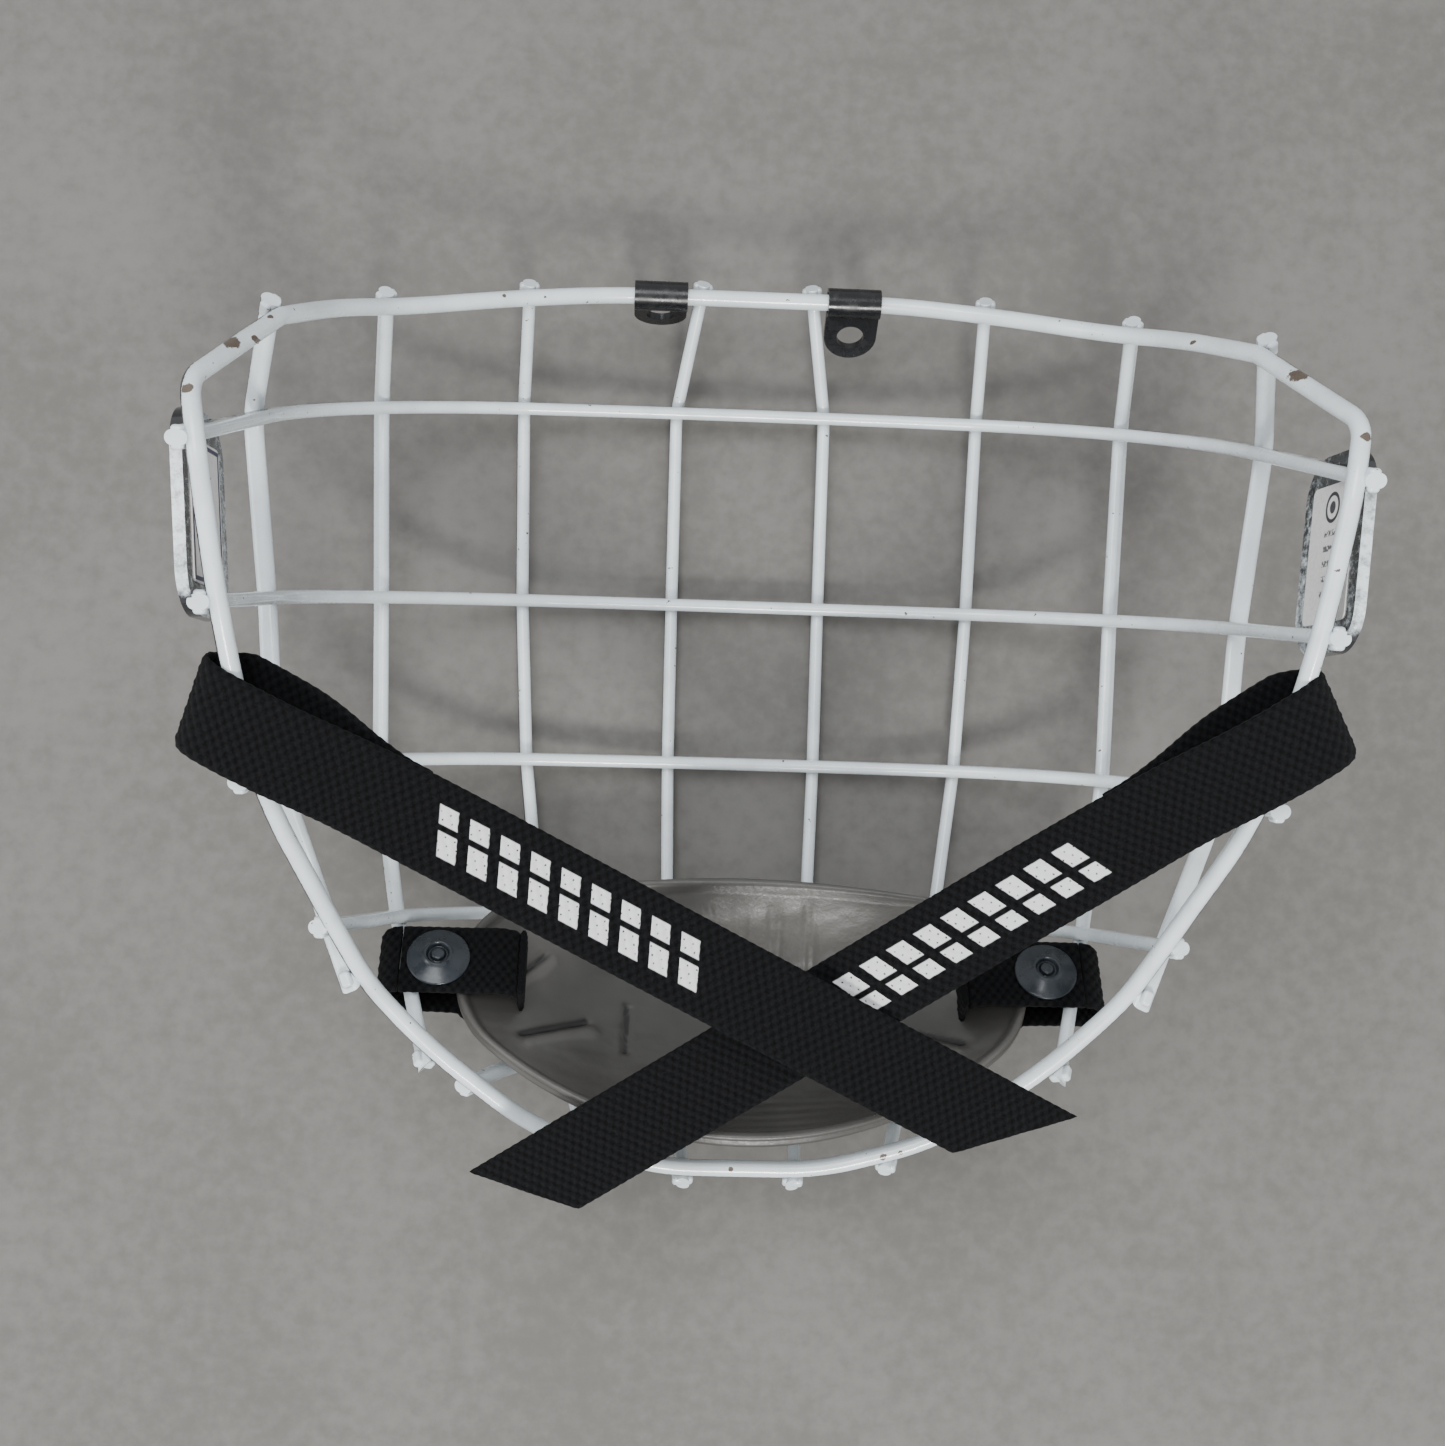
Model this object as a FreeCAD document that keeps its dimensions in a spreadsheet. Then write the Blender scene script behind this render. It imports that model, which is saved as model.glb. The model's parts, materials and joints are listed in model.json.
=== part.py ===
import FreeCAD, Part
import math
import os

import Sketcher
from FreeCAD import Placement, Rotation, Vector

# Hockey helmet cage, lying on the outer side of its face.
# +X is the wearer's side to side, +Y runs from the chin to the brow, and +Z runs
# from the front of the cage back to the helmet. Sizes are millimetres.

doc = FreeCAD.newDocument("hockey_cage")

# ---------------------------------------------------------------- driving sizes
SIZES = [
    # the round perimeter wire
    ("cage_width", 226.6, "between the centrelines of the rim at the temples"),
    ("brow_height", 101.2, "rim centreline above the middle of the cage at the brow"),
    ("chin_height", 103.0, "rim centreline below the middle of the cage at the chin"),
    ("cage_depth", 116.0, "front bars to the rearmost point of the rim, centrelines"),
    ("rim_wire", 3.9, "diameter of the rim wire"),
    ("rim_bend", 9.0, "centreline radius of the two sharp bends at each temple"),
    # the flat-oval wires of the grid
    ("grid_width", 3.0, "grid wire, across the face of the cage"),
    ("grid_depth", 4.4, "grid wire, through the face of the cage"),
    ("weld_sink", 0.6, "how far two crossing grid wires sink into each other"),
    ("rim_sink", 1.2, "how far a grid wire sinks into the rim"),
    ("weld_reach", 2.2, "how far a wire runs on past the wire it ends on"),
    ("weld_flare", 4.8, "width of a squashed weld end"),
    ("weld_length", 3.6, "length of a squashed weld end"),
    ("weld_gauge", 2.6, "thickness of a squashed weld end"),
    ("wire_bend", 60.0, "centreline radius of the gentle bends of the uprights"),
    ("brow_bend", 14.0, "centreline radius of the bend of the uprights at bar 1"),
    # side plates and their labels
    ("plate_width", 27.0, "side plate, front to back"),
    ("plate_length", 41.0, "side plate, brow to chin"),
    ("plate_gauge", 1.2, "sheet thickness of the side plate"),
    ("plate_lip", 1.2, "height of the turned edge of the side plate"),
    ("plate_corner", 9.0, "corner radius of the side plate"),
    ("plate_sink", 1.0, "how far the plate sinks into the bars that it is welded to"),
    ("plate_inset", 4.0, "rear edge of the plate before the rearmost rim centreline"),
    ("label_width", 19.0, "label, front to back"),
    ("label_gauge", 0.25, "thickness of the label film"),
    ("label_margin", 1.2, "label to the bars above and below it"),
    ("label_corner", 1.5, "corner radius of the label"),
    # the two clips on the brow
    ("clip_width", 12.7, "clip strip"),
    ("clip_gauge", 0.9, "coated steel strip"),
    ("clip_clearance", 0.65, "clip eye over the rim wire, on the radius"),
    ("clip_hole", 6.6, "hole for the helmet screw"),
    ("clip_hole_reach", 9.6, "rim centre to the hole"),
    ("clip_spread", 46.4, "between the middles of the two clips"),
    ("clip_droop_left", 82.0, "left clip below level, degrees"),
    ("clip_droop_right", 53.0, "right clip below level, degrees"),
    # straps
    ("webbing_width", 19.0, "strap webbing"),
    ("webbing_gauge", 1.5, "strap webbing"),
    ("loop_clearance", 1.3, "loop inside over the rim wire, on the radius"),
    ("loop_back", 10.0, "rim centre to the inside of the fold"),
    ("loop_flat", 9.5, "rim centre to where the loop starts to close"),
    ("stitch_reach", 37.0, "rim centre to the end of the seam that closes the loop"),
    ("stitch_length", 15.0, "length of that seam"),
    ("strap_place_left", 0.675, "left strap down the rim run between bars 2 and 3, as a share"),
    ("strap_place_right", 0.58, "right strap down that run, as a share"),
    ("strap_skew", 16.0, "fold out of square with the strap, degrees"),
    ("strap_bias", 17.0, "how much longer the upper edge is than the lower one"),
    ("strap_length_left", 192.0, "rim centre to the tip"),
    ("strap_length_right", 199.0, "rim centre to the tip"),
    # chin cup
    ("cup_width", 131.0, "chin cup across its edge"),
    ("cup_top", 26.0, "cup edge above the widest line"),
    ("cup_bottom", 39.0, "cup edge below the widest line"),
    ("cup_side_radius", 23.0, "radius of the two sides of the cup"),
    ("cup_depth", 22.0, "cup edge plane to the lowest outside"),
    ("cup_wall", 3.8, "moulded wall of the cup"),
    ("cup_tilt", 35.0, "degrees that the cup and its tabs lean to the brow"),
    ("cup_drop", 1.9, "tabs above the widest line of the cup"),
    # snap tabs
    ("tab_width", 16.8, "tab webbing"),
    ("tab_gauge", 1.4, "tab webbing"),
    ("tab_length", 25.5, "wire to the free end of the tab"),
    ("tab_place", -59.6, "height of the tabs"),
    ("tab_clearance", 1.4, "tab fold over the grid wire"),
    ("tab_slack", 1.2, "middle of the fold outside the wire"),
    ("tab_gap", 0.3, "free end to the layer that it would touch"),
    ("snap_reach", 7.6, "wire to the middle of the snap"),
    ("snap_cap", 14.4, "diameter of the snap cap"),
    ("snap_height", 2.6, "snap cap over the tab"),
    ("snap_body", 6.6, "diameter of the socket and of the stud plate"),
    ("snap_ball", 3.6, "diameter of the stud"),
    ("snap_lip", 1.6, "depth of the socket under the tab"),
    ("snap_fit", 0.3, "stud in the socket, on the radius"),
    ("snap_post", 1.0, "rivet head under the tab"),
]

sheet = doc.addObject("Spreadsheet::Sheet", "Sizes")
for row, (alias, value, meaning) in enumerate(SIZES, start=1):
    sheet.set("A%d" % row, alias)
    sheet.set("B%d" % row, str(value))
    sheet.set("C%d" % row, meaning)
    sheet.setAlias("B%d" % row, alias)
doc.recompute()


def size(alias):
    return float(sheet.get(alias))


half_width = size("cage_width") / 2
brow = size("brow_height")
chin = size("chin_height")
depth = size("cage_depth")
rim_radius = size("rim_wire") / 2
grid_width = size("grid_width")
grid_depth = size("grid_depth")
bar_offset = rim_radius + grid_depth / 2 - size("rim_sink")
upright_offset = grid_depth - size("weld_sink")

# Corners of one half of the rim, from the brow round the temple to the chin: side,
# height and depth as shares of the half width, the brow or chin height and the depth.
# The first and last corner also give the height and depth of the two middle runs.
RIM_CORNERS = [
    (0.300, 1.000, 0.160),
    (0.520, 0.965, 0.210),
    (0.720, 0.908, 0.310),
    (0.832, 0.852, 0.480),
    (0.904, 0.770, 0.690),
    (1.000, 0.566, 0.970),
    (0.978, 0.440, 1.000),
    (0.948, 0.150, 0.928),
    (0.900, -0.180, 0.775),
    (0.784, -0.470, 0.560),
    (0.732, -0.590, 0.480),
    (0.612, -0.738, 0.405),
    (0.400, -0.925, 0.320),
    (0.160, -1.000, 0.290),
]
TEMPLE = 5
SHARP_CORNERS = (4, 5)

# The five bars: height at the front, depth at the front, slope down towards the
# back in degrees, radius across the front, radius of the corner, and the angle of
# the side leg to the front in degrees.
BARS = {
    "bar_1": (76.3, 2.7, 15.2, 420.0, 62.0, 84.5),
    "bar_2": (29.0, 0.0, 7.2, 600.0, 62.0, 84.5),
    "bar_3": (-10.0, 0.2, 5.5, 450.0, 58.0, 84.5),
    "bar_4": (-47.5, 1.2, 1.0, 400.0, 44.0, 72.0),
    "bar_5": (-78.0, 12.0, 12.0, 140.0, 50.0, 58.0),
}

# The uprights, from the middle out: where each crosses the rim at the brow, then
# the bars in turn, then the rim at the chin, as shares of the half width. The side
# uprights cross the bars on their legs, so there the shares are of the depth.
UPRIGHTS = {
    "inner": (0.118, (0.161, 0.160, 0.158, 0.150, 0.132), 0.112),
    "middle": (0.475, (0.490, 0.481, 0.462, 0.422, 0.350), 0.292),
    "outer": (0.740, (0.764, 0.752, 0.740, 0.684), 0.610),
    "side": (0.903, (0.490, 0.440, 0.450), 0.742),
}
SIDES = {"left": -1, "right": 1}

# Which way each strap lies from the rim: the left one crosses above the right one.
STRAP_DIRECTIONS = {
    "left": Vector(160.0, -71.0, -23.0),
    "right": Vector(-158.0, -94.0, -44.0),
}

# The chin cup from its edge down: half width, edge above and below the widest line,
# and side radius, as shares of those sizes at the edge, and the share of the depth.
CUP_SECTIONS = [
    (1.000, 1.000, 1.000, 1.00, 0.00),
    (0.955, 0.960, 0.950, 0.92, 0.13),
    (0.830, 0.840, 0.840, 0.76, 0.45),
    (0.640, 0.600, 0.640, 0.52, 0.82),
    (0.470, 0.380, 0.430, 0.32, 1.00),
]


# ---------------------------------------------------------------- geometry helpers
def mirrored(point, side):
    return Vector(point.x * side, point.y, point.z)


def unit(vector):
    result = Vector(vector)
    result.normalize()
    return result


def rim_corner(corner):
    across, up, back = corner
    height = brow if up > 0 else chin
    return Vector(across * half_width, up * height, back * depth)


RIM = [rim_corner(corner) for corner in RIM_CORNERS]


def bent_path(points, radii):
    """Straight runs joined by tangent arcs, one radius for each inner point."""
    edges = []
    start = points[0]
    for index in range(1, len(points) - 1):
        before, corner, after = points[index - 1], points[index], points[index + 1]
        into = unit(corner - before)
        out = unit(after - corner)
        half_turn = into.getAngle(out) / 2
        longest = 0.45 * min((corner - before).Length, (after - corner).Length)
        reach = min(radii[index - 1] * math.tan(half_turn), longest)
        if half_turn < 0.002 or reach < 0.05:
            continue
        radius = reach / math.tan(half_turn)
        arc_start = corner - into * reach
        arc_end = corner + out * reach
        towards = unit(out - into)
        middle = corner + towards * radius * (1 / math.cos(half_turn) - 1)
        edges.append(Part.LineSegment(start, arc_start).toShape())
        edges.append(Part.Arc(arc_start, middle, arc_end).toShape())
        start = arc_end
    edges.append(Part.LineSegment(start, points[-1]).toShape())
    return Part.Wire(edges)


def frame_placement(origin, x_axis, y_axis):
    """Placement whose X and Y axes point along the two given directions."""
    across = unit(x_axis)
    normal = unit(across.cross(y_axis))
    up = normal.cross(across)
    return Placement(origin, Rotation(across, up, normal, "ZXY"))


def oval_wire(width, thickness):
    """Flat oval about the origin, with its long side along Y and normal Z."""
    radius = width / 2
    straight = thickness / 2 - radius
    right_low = Vector(radius, -straight, 0)
    right_high = Vector(radius, straight, 0)
    left_high = Vector(-radius, straight, 0)
    left_low = Vector(-radius, -straight, 0)
    top = Vector(0, thickness / 2, 0)
    bottom = Vector(0, -thickness / 2, 0)
    return Part.Wire([
        Part.LineSegment(right_low, right_high).toShape(),
        Part.Arc(right_high, top, left_high).toShape(),
        Part.LineSegment(left_high, left_low).toShape(),
        Part.Arc(left_low, bottom, right_low).toShape(),
    ])


def squashed_end(point, direction, binormal):
    """Flared tab that resistance welding leaves at the end of a wire."""
    flare = size("weld_flare")
    thickness = size("weld_gauge")
    length = size("weld_length")
    block = Part.makeBox(flare, thickness, length, Vector(-flare / 2, -thickness / 2, -length))
    block = block.makeFillet(thickness * 0.32, block.Edges)
    block.Placement = frame_placement(point, binormal, direction.cross(binormal))
    return block


def grid_wire(points, radii, binormal):
    """Flat-oval wire along bent runs, its flat side lying in the face of the cage."""
    path = bent_path(points, radii)
    direction = unit(points[1] - points[0])
    level = binormal - direction * binormal.dot(direction)
    profile = oval_wire(grid_width, grid_depth)
    profile.Placement = frame_placement(points[0], level, direction.cross(level))
    shell = Part.BRepOffsetAPI.MakePipeShell(path)
    shell.setBiNormalMode(binormal)
    shell.add(profile)
    shell.build()
    shell.makeSolid()
    solid = shell.shape()
    for end, before in ((points[0], points[1]), (points[-1], points[-2])):
        outwards = unit(end - before)
        across = binormal - outwards * binormal.dot(outwards)
        solid = solid.fuse(squashed_end(end, outwards, unit(across)))
    return solid


def add_solid(name, shape, place=None):
    feature = doc.addObject("Part::Feature", name)
    feature.Label = name
    feature.Shape = shape
    if place is not None:
        feature.Placement = place
    return feature


# ---------------------------------------------------------------- rim
def rim_run(across, lower):
    """Point and direction where one half of the rim is a given share of the half width out."""
    x_wanted = across * half_width
    if lower:
        corners = list(reversed(RIM[TEMPLE:]))
    else:
        corners = RIM[:TEMPLE + 1]
    corners = [Vector(0, corners[0].y, corners[0].z)] + corners
    for start, end in zip(corners, corners[1:]):
        if start.x <= x_wanted <= end.x:
            share = (x_wanted - start.x) / (end.x - start.x)
            return start + (end - start) * share, unit(end - start)
    raise ValueError("no rim that far out")


def rim_crossing(height, back, slope):
    """Point and direction where the side of the rim crosses the plane of a bar."""
    normal = Vector(0, math.cos(slope), math.sin(slope))
    origin = Vector(0, height, back)
    side_runs = list(zip(RIM[TEMPLE:], RIM[TEMPLE + 1:]))
    for start, end in side_runs:
        above = (start - origin).dot(normal)
        below = (end - origin).dot(normal)
        if above >= 0 > below:
            return start + (end - start) * (above / (above - below)), unit(end - start)
    raise ValueError("the bar misses the rim")


def make_rim():
    first, last = RIM[0], RIM[-1]
    points = [Vector(0, first.y, first.z)] + RIM + [Vector(0, last.y, last.z)]
    sharp = size("rim_bend")
    widest = half_width * 10
    radii = [sharp if index in SHARP_CORNERS else widest for index in range(len(RIM))]
    path = bent_path(points, radii)
    profile = Part.Wire([Part.Circle(points[0], Vector(1, 0, 0), rim_radius).toShape()])
    half = path.makePipeShell([profile], True, False)
    other = half.mirror(Vector(0, 0, 0), Vector(1, 0, 0))
    return add_solid("rim", half.fuse(other).removeSplitter())


# ---------------------------------------------------------------- bars
class Bar:
    """U-shaped wire in a sloping plane: front arc, corner arc and straight leg."""

    def __init__(self, height, back, slope, front_radius, corner_radius, leg_angle):
        self.height = height
        self.back = back
        self.slope = math.radians(slope)
        self.front_radius = front_radius
        self.corner_radius = corner_radius
        leg = math.radians(leg_angle)
        self.leg = Vector(math.cos(leg), math.sin(leg), 0)
        rim_point, _ = rim_crossing(height, back, self.slope)
        outside = Vector(math.sin(leg), -math.cos(leg), 0)
        crossing = self.to_plane(rim_point) + outside * bar_offset
        self.end = crossing + self.leg * size("weld_reach")
        front_centre = Vector(0, front_radius, 0)
        inner = self.end - outside * corner_radius - front_centre
        along = inner.dot(self.leg)
        reach = front_radius - corner_radius
        root = math.sqrt(along ** 2 - inner.Length ** 2 + reach ** 2)
        self.corner_centre = front_centre + inner + self.leg * (-along - root)
        self.front_centre = front_centre
        self.front_end = front_centre + unit(self.corner_centre - front_centre) * front_radius
        self.corner_end = self.corner_centre + outside * corner_radius

    def to_plane(self, point):
        return Vector(point.x, (point.z - self.back) / math.cos(self.slope), 0)

    def to_space(self, flat):
        return Vector(
            flat.x,
            self.height - flat.y * math.sin(self.slope),
            self.back + flat.y * math.cos(self.slope),
        )

    def direction_to_space(self, flat):
        return self.to_space(flat) - self.to_space(Vector(0, 0, 0))

    def point_across(self, across):
        """Point and outward normal in the plane at a distance from the middle."""
        if across <= self.front_end.x:
            centre, radius = self.front_centre, self.front_radius
        elif across <= self.corner_end.x:
            centre, radius = self.corner_centre, self.corner_radius
        else:
            distance = (across - self.corner_end.x) / self.leg.x
            return self.corner_end + self.leg * distance, Vector(self.leg.y, -self.leg.x, 0)
        offset = across - centre.x
        point = Vector(across, centre.y - math.sqrt(radius ** 2 - offset ** 2), 0)
        return point, unit(point - centre)

    def point_back(self, back):
        """Point and outward normal in the plane at a depth behind the front of the cage."""
        deep = (back - self.back) / math.cos(self.slope)
        if deep >= self.corner_end.y:
            distance = (deep - self.corner_end.y) / self.leg.y
            return self.corner_end + self.leg * distance, Vector(self.leg.y, -self.leg.x, 0)
        offset = deep - self.corner_centre.y
        run = math.sqrt(self.corner_radius ** 2 - offset ** 2)
        point = Vector(self.corner_centre.x + run, deep, 0)
        return point, unit(point - self.corner_centre)

    def crossing(self, flat, normal):
        """Middle of an upright that crosses the outside of this bar, and the normal."""
        outward = self.direction_to_space(normal)
        return self.to_space(flat) + outward * upright_offset, outward

    def path(self):
        def middle_of_arc(centre, radius, start, end):
            return centre + unit((start - centre) + (end - centre)) * radius

        def both(flat):
            return self.to_space(Vector(-flat.x, flat.y, 0)), self.to_space(flat)

        corner_middle = middle_of_arc(
            self.corner_centre, self.corner_radius, self.front_end, self.corner_end)
        left_end, right_end = both(self.end)
        left_leg, right_leg = both(self.corner_end)
        left_corner, right_corner = both(corner_middle)
        left_front, right_front = both(self.front_end)
        front = self.to_space(Vector(0, 0, 0))
        return Part.Wire([
            Part.LineSegment(left_end, left_leg).toShape(),
            Part.Arc(left_leg, left_corner, left_front).toShape(),
            Part.Arc(left_front, front, right_front).toShape(),
            Part.Arc(right_front, right_corner, right_leg).toShape(),
            Part.LineSegment(right_leg, right_end).toShape(),
        ])

    def leg_point(self, back):
        """Middle of the leg in space at a depth behind the front of the cage."""
        flat, normal = self.point_back(back)
        return self.to_space(flat), self.direction_to_space(normal)

    def make(self, name):
        binormal = Vector(0, math.cos(self.slope), math.sin(self.slope))
        leg = self.direction_to_space(self.leg)
        start = mirrored(self.to_space(self.end), -1)
        into = mirrored(leg, -1) * -1
        profile = oval_wire(grid_width, grid_depth)
        profile.Placement = frame_placement(start, binormal, into.cross(binormal))
        shell = Part.BRepOffsetAPI.MakePipeShell(self.path())
        shell.setBiNormalMode(binormal)
        shell.add(profile)
        shell.build()
        shell.makeSolid()
        solid = shell.shape()
        for side in SIDES.values():
            end = mirrored(self.to_space(self.end), side)
            solid = solid.fuse(squashed_end(end, mirrored(leg, side), binormal))
        return add_solid(name, solid)


# ---------------------------------------------------------------- uprights
def rim_weld(rim_point, rim_direction, last, outward):
    """Where an upright lies on the outside of the rim, and where it ends."""
    towards = unit(rim_point - last)
    normal = unit(rim_direction.cross(towards))
    if normal.dot(outward) < 0:
        normal = normal * -1
    crossing = rim_point + normal * bar_offset
    end = crossing + unit(crossing - last) * size("weld_reach")
    return end


def upright_points(kind):
    at_brow, at_bars, at_chin = UPRIGHTS[kind]
    points = []
    normals = []
    for bar, share in zip(bars.values(), at_bars):
        if kind == "side":
            flat, normal = bar.point_back(share * depth)
        else:
            flat, normal = bar.point_across(share * half_width)
        point, outward = bar.crossing(flat, normal)
        points.append(point)
        normals.append(outward)
    brow_point, brow_direction = rim_run(at_brow, lower=False)
    chin_point, chin_direction = rim_run(at_chin, lower=True)
    top = rim_weld(brow_point, brow_direction, points[0], normals[0])
    low = rim_weld(chin_point, chin_direction, points[-1], normals[-1])
    across = unit(normals[1].cross(Vector(0, 1, 0)))
    return [top] + points + [low], across


def make_upright(kind, side_name):
    side = SIDES[side_name]
    points, across = upright_points(kind)
    points = [mirrored(point, side) for point in points]
    radii = [size("brow_bend")] + [size("wire_bend")] * (len(points) - 3)
    solid = grid_wire(points, radii, mirrored(across, side))
    return add_solid("upright_%s_%s" % (kind, side_name), solid)


rim = make_rim()
bars = {name: Bar(*shape) for name, shape in BARS.items()}
for bar_name, bar in bars.items():
    bar.make(bar_name)
for side_name in SIDES:
    for kind in UPRIGHTS:
        make_upright(kind, side_name)


# ---------------------------------------------------------------- sketch helpers
def plane_of(body, role):
    for feature in body.Origin.OriginFeatures:
        if feature.Role == role:
            return feature
    raise ValueError("no such plane")


def new_sketch(body, name, role="XY_Plane", offset=0.0):
    sketch = body.newObject("Sketcher::SketchObject", name)
    sketch.AttachmentSupport = (plane_of(body, role), [""])
    sketch.MapMode = "FlatFace"
    sketch.AttachmentOffset = Placement(Vector(0, 0, offset), Rotation())
    return sketch


def constrain(sketch, kind, references, expression, guess):
    """Dimension constraint whose value follows the sheet."""
    index = sketch.addConstraint(Sketcher.Constraint(kind, *references, guess))
    sketch.setExpression("Constraints[%d]" % index, expression)


def rounded_rectangle(sketch, width, height, radius, expressions):
    """Centred rectangle with round corners, its width, height and radius bound."""
    half_x, half_y = width / 2, height / 2
    in_x, in_y = half_x - radius, half_y - radius
    lines = [
        (Vector(-in_x, -half_y, 0), Vector(in_x, -half_y, 0)),
        (Vector(half_x, -in_y, 0), Vector(half_x, in_y, 0)),
        (Vector(in_x, half_y, 0), Vector(-in_x, half_y, 0)),
        (Vector(-half_x, in_y, 0), Vector(-half_x, -in_y, 0)),
    ]
    centres = [(in_x, -in_y), (in_x, in_y), (-in_x, in_y), (-in_x, -in_y)]
    for start, end in lines:
        sketch.addGeometry(Part.LineSegment(start, end))
    for quarter, (x, y) in enumerate(centres):
        first = math.radians(270 + 90 * quarter)
        circle = Part.Circle(Vector(x, y, 0), Vector(0, 0, 1), radius)
        sketch.addGeometry(Part.ArcOfCircle(circle, first, first + math.pi / 2))
    for side in range(4):
        arc = 4 + side
        sketch.addConstraint(Sketcher.Constraint("Tangent", side, 2, arc, 1))
        sketch.addConstraint(Sketcher.Constraint("Tangent", arc, 2, (side + 1) % 4, 1))
    for side, kind in enumerate(("Horizontal", "Vertical", "Horizontal", "Vertical")):
        sketch.addConstraint(Sketcher.Constraint(kind, side))
    for arc in (5, 6, 7):
        sketch.addConstraint(Sketcher.Constraint("Equal", 4, arc))
    sketch.addConstraint(Sketcher.Constraint("Symmetric", 4, 3, 6, 3, -1, 1))
    constrain(sketch, "DistanceX", (3, 1, 1, 1), expressions[0], width)
    constrain(sketch, "DistanceY", (0, 1, 2, 1), expressions[1], height)
    constrain(sketch, "Radius", (4,), expressions[2], radius)


def circle_sketch(body, name, expressions, guesses, offset=0.0):
    sketch = new_sketch(body, name, offset=offset)
    for number, (expression, guess) in enumerate(zip(expressions, guesses)):
        sketch.addGeometry(Part.Circle(Vector(0, 0, 0), Vector(0, 0, 1), guess))
        sketch.addConstraint(Sketcher.Constraint("Coincident", number, 3, -1, 1))
        constrain(sketch, "Radius", (number,), expression, guess)
    return sketch


def pad(body, sketch, name, expression, midplane=False, backwards=False):
    feature = body.newObject("PartDesign::Pad", name)
    feature.Profile = sketch
    feature.setExpression("Length", expression)
    feature.Midplane = midplane
    feature.Reversed = backwards
    return feature


def new_body(name):
    body = doc.addObject("PartDesign::Body", name)
    body.Label = name
    return body


# ---------------------------------------------------------------- side plates
def plate_frame(side):
    """Middle of the plate's inner face: X front to back, Y chin to brow, Z outwards."""
    back = depth - size("plate_inset") - size("plate_width") / 2
    upper, upper_normal = bars["bar_1"].leg_point(back)
    lower, lower_normal = bars["bar_2"].leg_point(back)
    outwards = unit(upper_normal + lower_normal)
    seat = grid_depth / 2 - size("plate_sink")
    origin = (upper + lower) * 0.5 + outwards * seat
    up = mirrored(upper - lower, side)
    normal = mirrored(outwards, side)
    return frame_placement(mirrored(origin, side), up.cross(normal), up)


def make_side_plate(side_name):
    body = new_body("side_plate_" + side_name)
    outline = new_sketch(body, "plate_outline_" + side_name)
    rounded_rectangle(outline, size("plate_width"), size("plate_length"), size("plate_corner"),
                      ("Sizes.plate_width", "Sizes.plate_length", "Sizes.plate_corner"))
    pad(body, outline, "plate_sheet_" + side_name, "Sizes.plate_gauge + Sizes.plate_lip")
    floor = new_sketch(body, "plate_dish_" + side_name, offset=size("plate_gauge"))
    floor.setExpression("AttachmentOffset.Base.z", "Sizes.plate_gauge")
    inset = 2 * size("plate_gauge")
    rounded_rectangle(floor, size("plate_width") - inset, size("plate_length") - inset,
                      size("plate_corner") - inset / 2,
                      ("Sizes.plate_width - 2 * Sizes.plate_gauge",
                       "Sizes.plate_length - 2 * Sizes.plate_gauge",
                       "Sizes.plate_corner - Sizes.plate_gauge"))
    dish = body.newObject("PartDesign::Pocket", "plate_hollow_" + side_name)
    dish.Profile = floor
    dish.Reversed = True
    dish.setExpression("Length", "Sizes.plate_lip")
    body.Placement = plate_frame(SIDES[side_name])
    return body


def make_label(side_name):
    back = depth - size("plate_inset") - size("plate_width") / 2
    upper, _ = bars["bar_1"].leg_point(back)
    lower, _ = bars["bar_2"].leg_point(back)
    gap = (upper - lower).Length - grid_width - 2 * size("label_margin")
    body = new_body("label_" + side_name)
    outline = new_sketch(body, "label_outline_" + side_name)
    rounded_rectangle(outline, size("label_width"), gap, size("label_corner"),
                      ("Sizes.label_width", "%.4f" % gap, "Sizes.label_corner"))
    pad(body, outline, "label_film_" + side_name, "Sizes.label_gauge", backwards=True)
    body.Placement = plate_frame(SIDES[side_name])
    return body


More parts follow.
